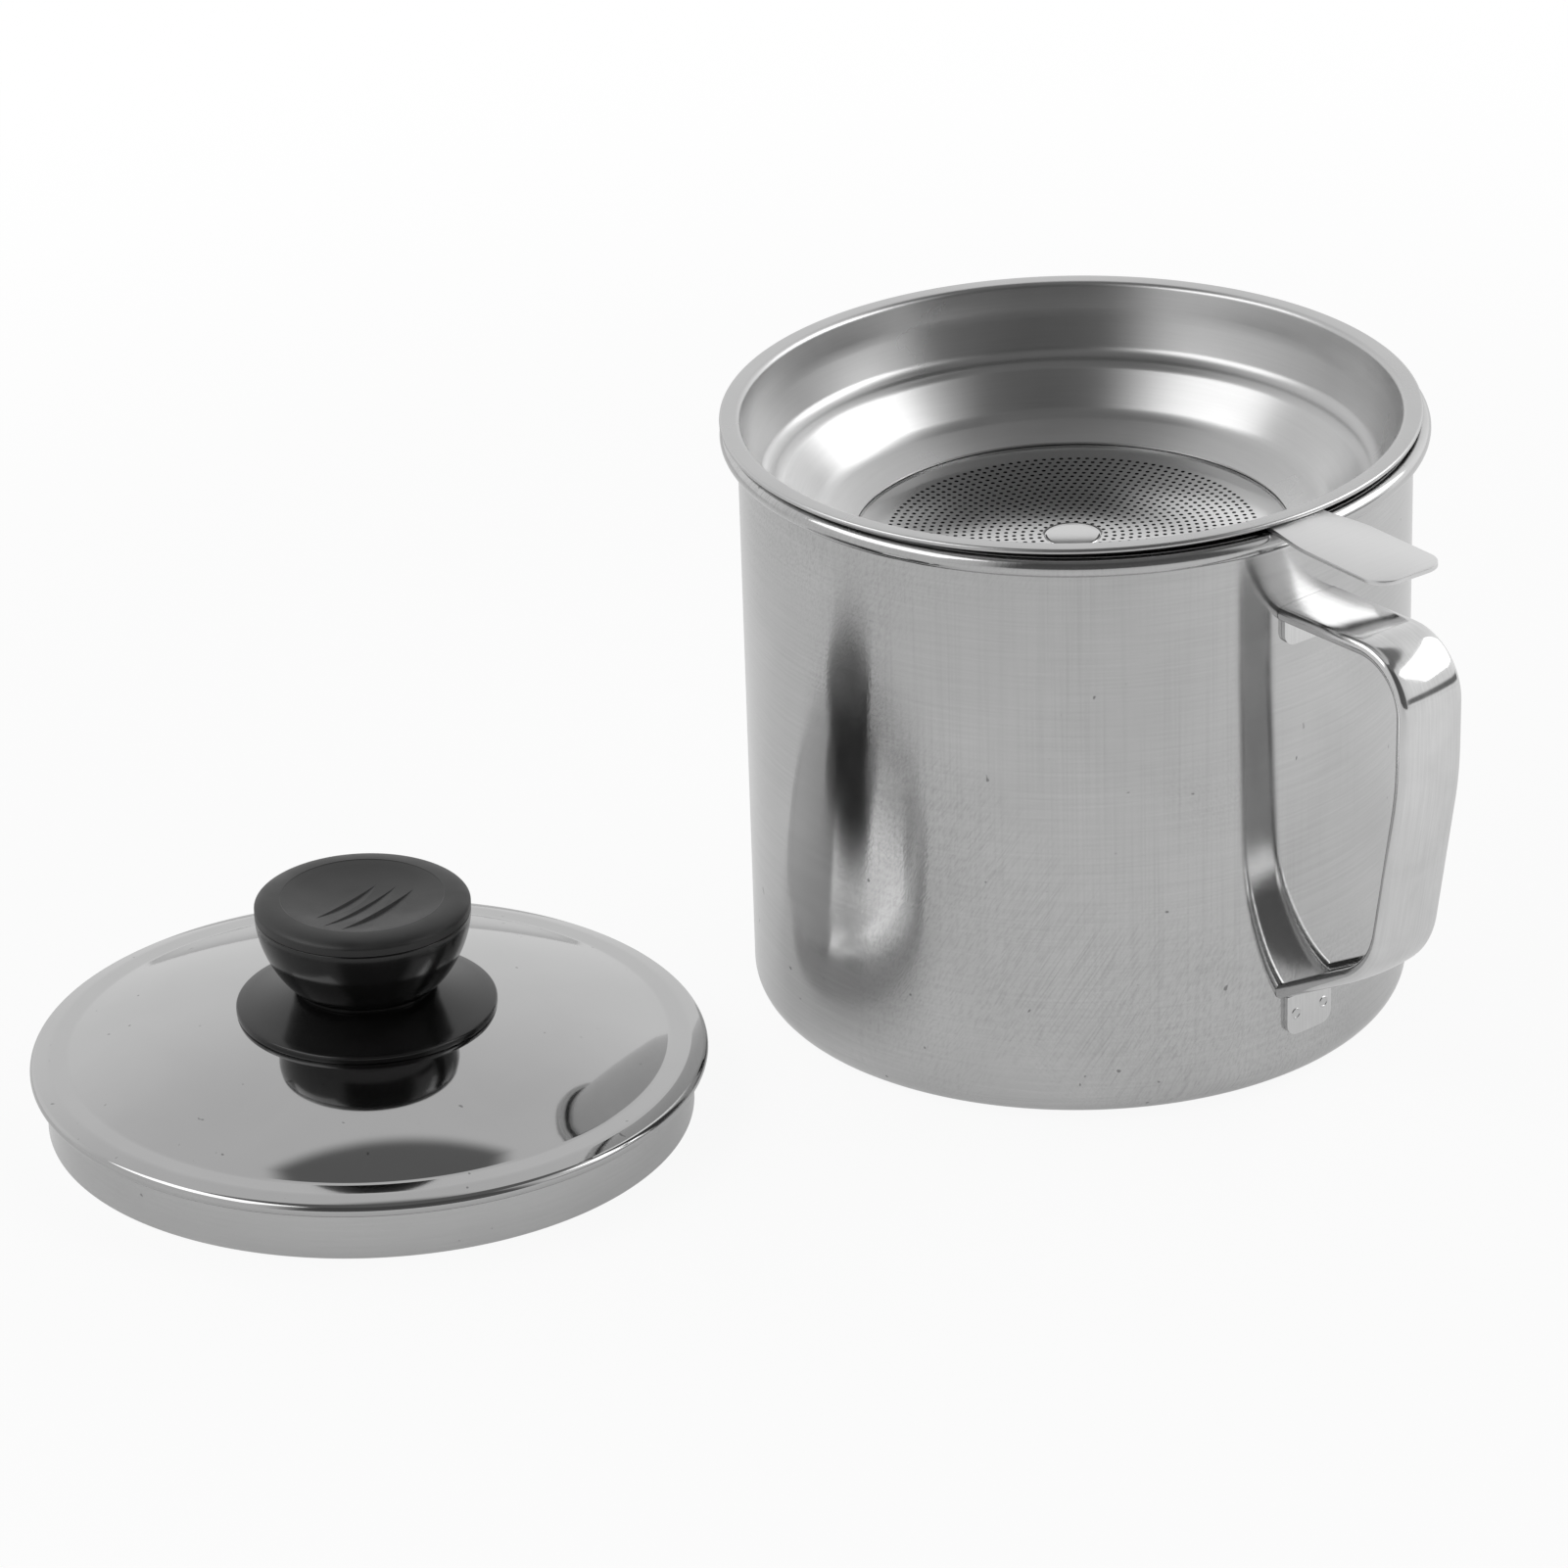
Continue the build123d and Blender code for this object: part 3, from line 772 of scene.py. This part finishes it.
bmesh.ops.translate(bm, verts=verts_in(bottom), vec=(0, 0, -disc_sheet * mm))
disc_place = seat @ Matrix.Translation((0, 0, (rim_top - disc_depth) * mm))
bmesh.ops.transform(bm, matrix=disc_place, verts=bm.verts)
disc = finish_piece(bm, "strainer_disc", "strainer", disc_steel)
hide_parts("filter_disc")

# %% [markdown]
# ## The thumb tab
# The tab is a flat piece of sheet with a narrow neck and rounded outer corners, spot welded under
# the rim. An extruded outline is all that it needs, with its edges slightly broken, because a
# perfectly sharp edge never catches the light.

# %% Thumb tab
tab_start = 69.7
tab_flare = rim_outer + 10.5
tab_end = rim_outer + 35.4
tab_root_half, tab_half = 7.0, 8.9
broken_edge = 0.12
half_outline = [
    (tab_start, tab_root_half),
    (rim_outer, tab_root_half),
    (tab_flare, tab_half),
    (tab_end, tab_half),
]
outline = [(x, -y) for x, y in half_outline] + half_outline[::-1]
bm = bmesh.new()
tab_verts = [bm.verts.new((x * mm, y * mm, 0)) for x, y in outline]
bm.faces.new(tab_verts)
for index, reach in ((3, 5.0), (2, 2.5), (1, 2.0)):
    for corner in (tab_verts[index], tab_verts[-1 - index]):
        bmesh.ops.bevel(
            bm, geom=[corner], offset=reach * mm, segments=10, profile=0.5,
            affect="VERTICES", material=-1,
        )
underside = bmesh.ops.extrude_face_region(bm, geom=bm.faces[:])["geom"]
bmesh.ops.translate(bm, verts=verts_in(underside), vec=(0, 0, -tab_sheet * mm))
sharp_edges = [
    edge
    for edge in bm.edges
    if edge.calc_face_angle(0) > math.radians(60) and edge.verts[0].co.z == edge.verts[1].co.z
]
bmesh.ops.bevel(
    bm, geom=sharp_edges, offset=broken_edge * mm, segments=2, profile=0.5, affect="EDGES",
    material=-1,
)
bmesh.ops.transform(bm, matrix=seat, verts=bm.verts)
tab = finish_piece(bm, "thumb_tab_plate", "strainer", plate_steel, smooth_angle=30)
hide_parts("thumb_tab")

# %% [markdown]
# ## The lid
# The lid is one sheet too: a shallow dome, a crease, a raised border and a plug-in skirt. The dome
# is a piece of a sphere, so its line is an arc, spun from one vertex about the sphere's centre.

# %% Lid shell
lid_low, lid_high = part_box("lid_shell")
lid_place = Vector(((lid_low.x + lid_high.x) / 2, (lid_low.y + lid_high.y) / 2, 0))
lid_seat = Matrix.Translation(lid_place)
lid_sheet = 0.6
half_lid_sheet = lid_sheet / 2
dome_outer_radius = 186.0
dome_radius = dome_outer_radius - half_lid_sheet
dome_height = round(lid_high.z / mm, 1)
dome_centre = dome_height - dome_outer_radius
screw_hole = 2.8
valley_radius = 62.4
straight = 3.0
crest_radius, crest_height = 66.3, 14.1
edge_radius, edge_height = 70.2, 13.2
edge_foot = 11.2
skirt_radius, skirt_top = 67.0, 9.9
lid_corner_radii = (4.0, 6.0, 1.1, 1.1, 0.8)
print("lid: dome height", dome_height, "mm")


def dome_height_at(radius):
    """Height of the dome's middle surface at a radius from the lid's axis."""
    return dome_centre + math.sqrt(dome_radius**2 - radius**2)


bm = bmesh.new()
dome_start = bm.verts.new((screw_hole * mm, 0, dome_height_at(screw_hole) * mm))
slope = math.asin((valley_radius - straight) / dome_radius)
dome_sweep = slope - math.asin(screw_hole / dome_radius)
dome_end = arc_from(bm, dome_start, (0, dome_centre), math.degrees(dome_sweep), steps=48)
dome_end_x, dome_end_z = dome_end.co.x / mm, dome_end.co.z / mm
lid_line = chain(
    bm,
    [
        (dome_end_x, dome_end_z),
        (dome_end_x + straight * math.cos(slope), dome_end_z - straight * math.sin(slope)),
        (crest_radius, crest_height - half_lid_sheet),
        (edge_radius - half_lid_sheet, edge_height - half_lid_sheet),
        (edge_radius - half_lid_sheet, edge_foot),
        (skirt_radius - half_lid_sheet, skirt_top),
        (skirt_radius - half_lid_sheet, 0),
    ],
)
for corner, radius in zip(lid_line[1:6], lid_corner_radii):
    round_corner(bm, corner, radius, steps=10)
turned(bm)
thicken(bm, lid_sheet)
bmesh.ops.transform(bm, matrix=lid_seat, verts=bm.verts)
lid = finish_piece(bm, "lid_pressing", "lid", mirror_steel)
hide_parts("lid_shell")
lid.data.materials.append(skirt_steel)
satin_top = skirt_top + 0.5
for face in lid.data.polygons:
    if face.center.z < satin_top * mm:
        face.material_index = 1

# %% [markdown]
# ## The knob
# The knob is a flared collar on the dome, a bowl-shaped grip and a dished cap. Each is a closed
# outline spun about the lid's axis, with its corners rounded as a mould rounds them.


# %% A solid of revolution from an outline
def turned_solid(name, points, corners, body, material, matrix, smooth_angle=40):
    """Spins a closed outline of (radius, height) points. Each corner is (index, radius, steps)."""
    bm = bmesh.new()
    line = chain(bm, points)
    if points[0][0] > 0 and points[-1][0] > 0:
        bm.edges.new((line[-1], line[0]))
    for index, radius, steps in corners:
        round_corner(bm, line[index], radius, steps)
    turned(bm)
    bmesh.ops.transform(bm, matrix=matrix, verts=bm.verts)
    return finish_piece(bm, name, body, material, smooth_angle)


# %% Flange
flange_low, flange_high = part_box("knob_flange")
grip_low, grip_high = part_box("knob_grip")
flange_radius = (flange_high.x - flange_low.x) / 2 / mm
flange_foot = flange_low.z / mm
flange_wall = 1.5
flange_inner = flange_radius - flange_wall
hub_radius = 8.0
neck_radius = 14.0
grip_foot = grip_low.z / mm
saddle_radius, saddle_drop = 20.4, 2.03
print("flange: radius", round(flange_radius, 2), "mm, grip base at", round(grip_foot, 2))
flange = turned_solid(
    "knob_collar",
    [
        (screw_hole, dome_height),
        (hub_radius, dome_height),
        (hub_radius, grip_foot - flange_wall),
        (neck_radius, grip_foot - flange_wall),
        (flange_inner, flange_foot + flange_wall / 2),
        (flange_inner, flange_foot + 0.2),
        (flange_radius, flange_foot),
        (flange_radius, flange_foot + flange_wall),
        (saddle_radius, grip_foot - saddle_drop),
        (neck_radius, grip_foot),
        (screw_hole, grip_foot),
    ],
    ((6, 0.3, 4), (7, 0.5, 6), (8, 90.0, 12)),
    "lid", gloss_black, lid_seat,
)
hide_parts("knob_flange")

# %% Grip
grip_radius = (grip_high.x - grip_low.x) / 2 / mm
seam = grip_high.z / mm
fit_clearance = 0.05
insert_radius = 4.2
neck_top = grip_foot + 1.4
bowl_foot_radius = 15.2
widest_height = grip_foot + 7.65
plug_radius, plug_depth = 18.8, 3.9
socket_radius = plug_radius + fit_clearance
socket_floor = seam - plug_depth - fit_clearance
insert_hole = insert_radius + fit_clearance
print("grip: radius", round(grip_radius, 2), "mm, seam at", round(seam, 2))
grip = turned_solid(
    "knob_bowl",
    [
        (insert_hole, grip_foot),
        (neck_radius, grip_foot),
        (neck_radius, neck_top),
        (bowl_foot_radius, neck_top),
        (grip_radius, widest_height),
        (grip_radius, seam),
        (socket_radius, seam),
        (socket_radius, socket_floor),
        (insert_hole, socket_floor),
    ],
    ((1, 0.2, 4), (3, 0.5, 6), (4, 20.2, 20), (5, 0.3, 4)),
    "lid", gloss_black, lid_seat,
)
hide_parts("knob_grip")

# %% Cap
_, cap_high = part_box("knob_cap")
cap_top = cap_high.z / mm
dish_rim = 17.0
dish_depth = 1.7
dish_steps = 16
rim_land, rim_fall = 0.2, 0.09
seam_bevel_width, seam_bevel_height = 0.35, 0.15
cap_smooth_angle = 9
dish_floor = cap_top - dish_depth
dish_curve = (dish_rim**2 + dish_depth**2) / (2 * dish_depth)
shoulder_drop = 1.9
shoulder_width = grip_radius - dish_rim
shoulder = [
    (
        dish_rim + shoulder_width * math.sin(math.radians(turn)),
        cap_top - shoulder_drop * (1 - math.cos(math.radians(turn))),
    )
    for turn in range(0, 91, 5)
]
dish = []
for step in range(dish_steps):
    reach = dish_rim * step / dish_steps
    dish.append((reach, dish_floor + dish_curve - math.sqrt(dish_curve**2 - reach**2)))
dish.append((dish_rim - rim_land, cap_top - rim_fall))
plug = [
    (grip_radius, seam + seam_bevel_height),
    (grip_radius - seam_bevel_width, seam),
    (plug_radius, seam),
    (plug_radius, seam - plug_depth),
    (0, seam - plug_depth),
]
cap = turned_solid(
    "knob_cap_dished", dish + shoulder + plug, (),
    "lid", matte_black, lid_seat, smooth_angle=cap_smooth_angle,
)
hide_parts("knob_cap")
print("cap: top at", round(cap_top, 2), "mm")

# %% [markdown]
# Three grooves in the dish give the thumb some grip. A mill would leave such a groove if a thin
# wheel with a slanting edge were set down on the dish: a steep flank, a gentle flank and a point at
# each end. So three wheel rims are made, and a Boolean modifier cuts them out of the cap at once.

# %% Grip grooves
groove_depth = 0.38
steep_run, gentle_run = 0.3, 2.2
groove_spacing = 4.1
middle_length, outer_length = 23.4, 19.2
half_turn = math.radians(20)
groove_lean = math.radians(13)
groove_centre = Vector((2.0, -0.6, dish_floor - groove_depth)) * mm
edge_points = [
    (0, 0), (2 * gentle_run, 2 * groove_depth), (-2 * steep_run, 2 * groove_depth)
]
bm = bmesh.new()
for step, length in ((-1, outer_length), (0, middle_length), (1, outer_length)):
    across = step * groove_spacing
    wheel_radius = 1 / (8 * groove_depth / length**2 + 1 / dish_curve)
    section = [bm.verts.new(((across + x) * mm, 0, z * mm)) for x, z in edge_points]
    centre = Vector((across * mm, 0, wheel_radius * mm))
    bmesh.ops.rotate(bm, verts=section, cent=centre, matrix=Matrix.Rotation(-half_turn, 3, "X"))
    edges = [bm.edges.new((section[i], section[i - 1])) for i in range(3)]
    bm.faces.new(section)
    rim = bmesh.ops.spin(
        bm, geom=section + edges, cent=centre, axis=(1, 0, 0), angle=2 * half_turn, steps=80,
        use_duplicate=False,
    )["geom_last"]
    bm.faces.new(verts_in(rim))
bmesh.ops.recalc_face_normals(bm, faces=bm.faces)
groove_place = (
    lid_seat @ Matrix.Translation(groove_centre) @ Matrix.Rotation(groove_lean, 4, "Z")
)
bmesh.ops.transform(bm, matrix=groove_place, verts=bm.verts)
wheel_mesh = bpy.data.meshes.new("groove_wheels")
bm.to_mesh(wheel_mesh)
bm.free()
wheels = bpy.data.objects.new("groove_wheels", wheel_mesh)
bpy.context.scene.collection.objects.link(wheels)
cut = cap.modifiers.new("grooves", "BOOLEAN")
cut.operation = "DIFFERENCE"
cut.solver = "EXACT"
cut.object = wheels
cut_cap = cap.evaluated_get(bpy.context.evaluated_depsgraph_get())
cut_mesh = bpy.data.meshes.new_from_object(cut_cap)
cap.modifiers.remove(cut)
cap.data = cut_mesh
cap.data.set_sharp_from_angle(angle=math.radians(cap_smooth_angle))
bpy.data.objects.remove(wheels)
print("cap with grooves:", len(cap.data.polygons), "faces")

# %% [markdown]
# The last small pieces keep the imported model's own shapes. The screw, its washer and the welds of
# the tab are steel, and the insert in the knob is brass.

# %% Finishes of the small fittings
for name, fitting_material in (
    ("tab_spot_welds", weld_steel),
    ("lid_washer", plate_steel),
    ("lid_screw", weld_steel),
    ("knob_insert", brass),
):
    for slot in nodes[name].material_slots:
        slot.material = fitting_material
    print(name, "has", len(nodes[name].material_slots), "material slots")

# %% [markdown]
# ## The camera
# A long lens far away shows little perspective. The camera looks down at the object from its right
# front, and is held a little out of level. Its bearing is counted from -Y towards +X, and its
# pitch, yaw and roll are in radians.

# %% Camera
image_width = 1601
focal_pixels = 9603.4
camera_distance = 1.78919
camera_height = 0.89908
camera_bearing = math.radians(47.53)
camera_pitch = 0.44532
camera_yaw = -0.03468
camera_roll = -0.02493
sensor = 36.0
camera_data = bpy.data.cameras.new("studio_camera")
camera_data.sensor_width = sensor
camera_data.lens = focal_pixels * sensor / image_width
camera = bpy.data.objects.new("studio_camera", camera_data)
camera.location = (
    camera_distance * math.sin(camera_bearing),
    -camera_distance * math.cos(camera_bearing),
    camera_height,
)
camera_turn = (
    Matrix.Rotation(camera_bearing - camera_yaw, 3, "Z")
    @ Matrix.Rotation(math.pi / 2 - camera_pitch, 3, "X")
    @ Matrix.Rotation(camera_roll, 3, "Z")
)
camera.rotation_euler = camera_turn.to_euler()
bpy.context.scene.collection.objects.link(camera)
bpy.context.scene.camera = camera
bpy.context.scene.view_settings.view_transform = "Standard"
print("lens", round(camera_data.lens, 1), "mm")

# %% [markdown]
# ## Floor and light
# Bright metal shows its surroundings more than itself, so the surroundings are the lighting: a
# white floor and backdrop, two soft boxes to the front left and front right, and a dark gap
# between them where the camera stands. The floor is seen as nearly white and keeps the shadow.

# %% Floor
floor_radius = 1.5
floor_gap = 0.2
floor_albedo = 0.82
floor_mesh = bpy.data.meshes.new("floor")
bm = bmesh.new()
bmesh.ops.create_circle(bm, cap_ends=True, radius=floor_radius, segments=96)
bmesh.ops.translate(bm, verts=bm.verts, vec=(0, 0, -floor_gap * mm))
bm.to_mesh(floor_mesh)
bm.free()
floor = bpy.data.objects.new("floor", floor_mesh)
bpy.context.scene.collection.objects.link(floor)

# %% [markdown]
# The floor is matt white paint. To the camera it is nearly white, as a lit backdrop is, and it
# keeps the object's shadow. The metal sees it a little brighter than the paint alone would be, most
# of all near the object and at the right.

# %% Floor paint
floor_paint = bpy.data.materials.new("floor_paint")
floor_paint.use_nodes = True
tree = floor_paint.node_tree
tree.nodes.clear()


def tree_math(operation, first, second=None):
    """A math node of the tree in use, from sockets or numbers."""
    node = tree.nodes.new("ShaderNodeMath")
    node.operation = operation
    for socket, value in zip(node.inputs, (first, second)):
        if isinstance(value, (int, float)):
            socket.default_value = value
        elif value is not None:
            tree.links.new(value, socket)
    return node.outputs[0]


def smooth_step(value, low, high, start=0.0, end=1.0):
    """A soft ramp from start to end as the value goes from low to high."""
    remap = tree.nodes.new("ShaderNodeMapRange")
    remap.interpolation_type = "SMOOTHSTEP"
    remap.inputs["From Min"].default_value = low
    remap.inputs["From Max"].default_value = high
    remap.inputs["To Min"].default_value = start
    remap.inputs["To Max"].default_value = end
    tree.links.new(value, remap.inputs["Value"])
    return remap.outputs["Result"]


floor_out = tree.nodes.new("ShaderNodeOutputMaterial")
floor_mix = tree.nodes.new("ShaderNodeMixShader")
floor_diffuse = tree.nodes.new("ShaderNodeBsdfDiffuse")
floor_diffuse.inputs["Color"].default_value = (floor_albedo, floor_albedo, floor_albedo, 1)
floor_glow = tree.nodes.new("ShaderNodeEmission")
floor_glow.inputs["Color"].default_value = (1, 1, 1, 1)
light_path = tree.nodes.new("ShaderNodeLightPath")
floor_place = object_coords(tree)
floor_distance = tree.nodes.new("ShaderNodeVectorMath")
floor_distance.operation = "LENGTH"
tree.links.new(floor_place, floor_distance.inputs[0])
from_middle = floor_distance.outputs["Value"]
white_share = smooth_step(from_middle, low=0.25, high=0.6, start=0.92, end=1.0)
by_camera = tree_math("MULTIPLY", white_share, light_path.outputs["Is Camera Ray"])
by_metal = tree_math(
    "MAXIMUM", light_path.outputs["Is Glossy Ray"], light_path.outputs["Is Transmission Ray"]
)
to_the_right = tree.nodes.new("ShaderNodeVectorMath")
to_the_right.operation = "DOT_PRODUCT"
to_the_right.inputs[1].default_value = (math.cos(camera_bearing), math.sin(camera_bearing), 0)
tree.links.new(floor_place, to_the_right.inputs[0])
metal_share = tree_math(
    "ADD",
    smooth_step(from_middle, low=0.12, high=0.5, start=0.4, end=0.15),
    smooth_step(to_the_right.outputs["Value"], low=0.05, high=0.4, start=0.0, end=0.36),
)
glow_share = tree_math("ADD", by_camera, tree_math("MULTIPLY", by_metal, metal_share))
link_chain(
    tree,
    (glow_share, floor_mix.inputs["Fac"]),
    (floor_diffuse.outputs[0], floor_mix.inputs[1]),
    (floor_glow.outputs[0], floor_mix.inputs[2]),
    (floor_mix.outputs[0], floor_out.inputs["Surface"]),
)
floor_mesh.materials.append(floor_paint)
print("floor paint has", len(tree.nodes), "shader nodes")

# %% [markdown]
# The world is the studio. A white sweep stands behind the object up to about 60 degrees, the
# ceiling and the side where the camera stands are dark, so is the far table edge at the right,
# and the camera itself sees plain white. Bearings are in radians from the camera's side, positive
# to its right, and heights are sines of the elevation.

# %% World
world = bpy.data.worlds.new("studio")
bpy.context.scene.world = world
world.use_nodes = True
tree = world.node_tree
tree.nodes.clear()
world_out = tree.nodes.new("ShaderNodeOutputWorld")
background = tree.nodes.new("ShaderNodeBackground")
coords = tree.nodes.new("ShaderNodeTexCoord")
turn = tree.nodes.new("ShaderNodeMapping")
turn.vector_type = "POINT"
turn.inputs["Rotation"].default_value = (0, 0, -camera_bearing)
split = tree.nodes.new("ShaderNodeSeparateXYZ")
link_chain(
    tree,
    (coords.outputs["Generated"], turn.inputs["Vector"]),
    (turn.outputs["Vector"], split.inputs["Vector"]),
)
across, away, up = split.outputs["X"], split.outputs["Y"], split.outputs["Z"]
bearing = tree_math("ARCTAN2", across, tree_math("MULTIPLY", away, -1.0))
gap_left, gap_right, gap_depth = (-0.6, -0.3), (1.2, 0.85), 0.85
gap = tree_math("MULTIPLY", smooth_step(bearing, *gap_left), smooth_step(bearing, *gap_right))
behind = smooth_step(tree_math("ABSOLUTE", bearing), low=1.6, high=2.2, start=0.7, end=0.9)
right_end = smooth_step(across, low=0.1, high=0.7, start=1.0, end=1.2)
fall_off = smooth_step(up, low=0.35, high=0.8, start=1.0, end=0.82)
white_sweep = tree_math("MULTIPLY", behind, tree_math("MULTIPLY", right_end, fall_off))
table_foot, table_top = (-0.02, 0.02), (0.16, 0.1)
table_left, table_right, table_depth = (0.9, 1.2), (2.1, 1.8), 0.8
table_edge = tree_math(
    "MULTIPLY",
    tree_math("MULTIPLY", smooth_step(up, *table_foot), smooth_step(up, *table_top)),
    tree_math("MULTIPLY", smooth_step(bearing, *table_left), smooth_step(bearing, *table_right)),
)
ceiling_tilt, ceiling_grey, ceiling_limits = 0.07, 0.16, (0.87, 0.845)
shade = tree_math(
    "MAXIMUM", tree_math("MULTIPLY", gap, gap_depth), tree_math("MULTIPLY", table_edge, table_depth)
)
lit = tree_math("MULTIPLY", white_sweep, tree_math("SUBTRACT", 1.0, shade))
ceiling_edge = tree_math("ADD", up, tree_math("MULTIPLY", across, ceiling_tilt))
below_ceiling = smooth_step(ceiling_edge, *ceiling_limits)
ceiling = tree_math("MULTIPLY", tree_math("SUBTRACT", 1.0, below_ceiling), ceiling_grey)
room = tree_math("ADD", tree_math("MULTIPLY", lit, below_ceiling), ceiling)
world_path = tree.nodes.new("ShaderNodeLightPath")
level = tree_math("MAXIMUM", room, world_path.outputs["Is Camera Ray"])
grey = tree.nodes.new("ShaderNodeCombineColor")
link_chain(
    tree,
    (level, grey.inputs[0]),
    (level, grey.inputs[1]),
    (level, grey.inputs[2]),
    (grey.outputs[0], background.inputs["Color"]),
    (background.outputs[0], world_out.inputs["Surface"]),
)
print("world has", len(tree.nodes), "shader nodes")


# %% Two soft boxes
def soft_box(name, bearing, elevation, power, distance=1.3, width=1.1, height=0.6):
    """A rectangular area lamp that looks at the object. The bearing is from the camera's side."""
    data = bpy.data.lights.new(name, "AREA")
    data.shape = "RECTANGLE"
    data.size = width
    data.size_y = height
    data.energy = power
    lamp = bpy.data.objects.new(name, data)
    heading = camera_bearing - math.pi / 2 + math.radians(bearing)
    flat = distance * math.cos(math.radians(elevation))
    up = distance * math.sin(math.radians(elevation))
    lamp.location = (flat * math.cos(heading), flat * math.sin(heading), up)
    lamp.rotation_euler = Vector(lamp.location).to_track_quat("Z", "Y").to_euler()
    bpy.context.scene.collection.objects.link(lamp)
    print(name, [round(c, 2) for c in lamp.location], power, "W")


soft_box("soft_box_left", bearing=-70, elevation=46, power=3.4)
soft_box("soft_box_right", bearing=104, elevation=37, power=4.0)
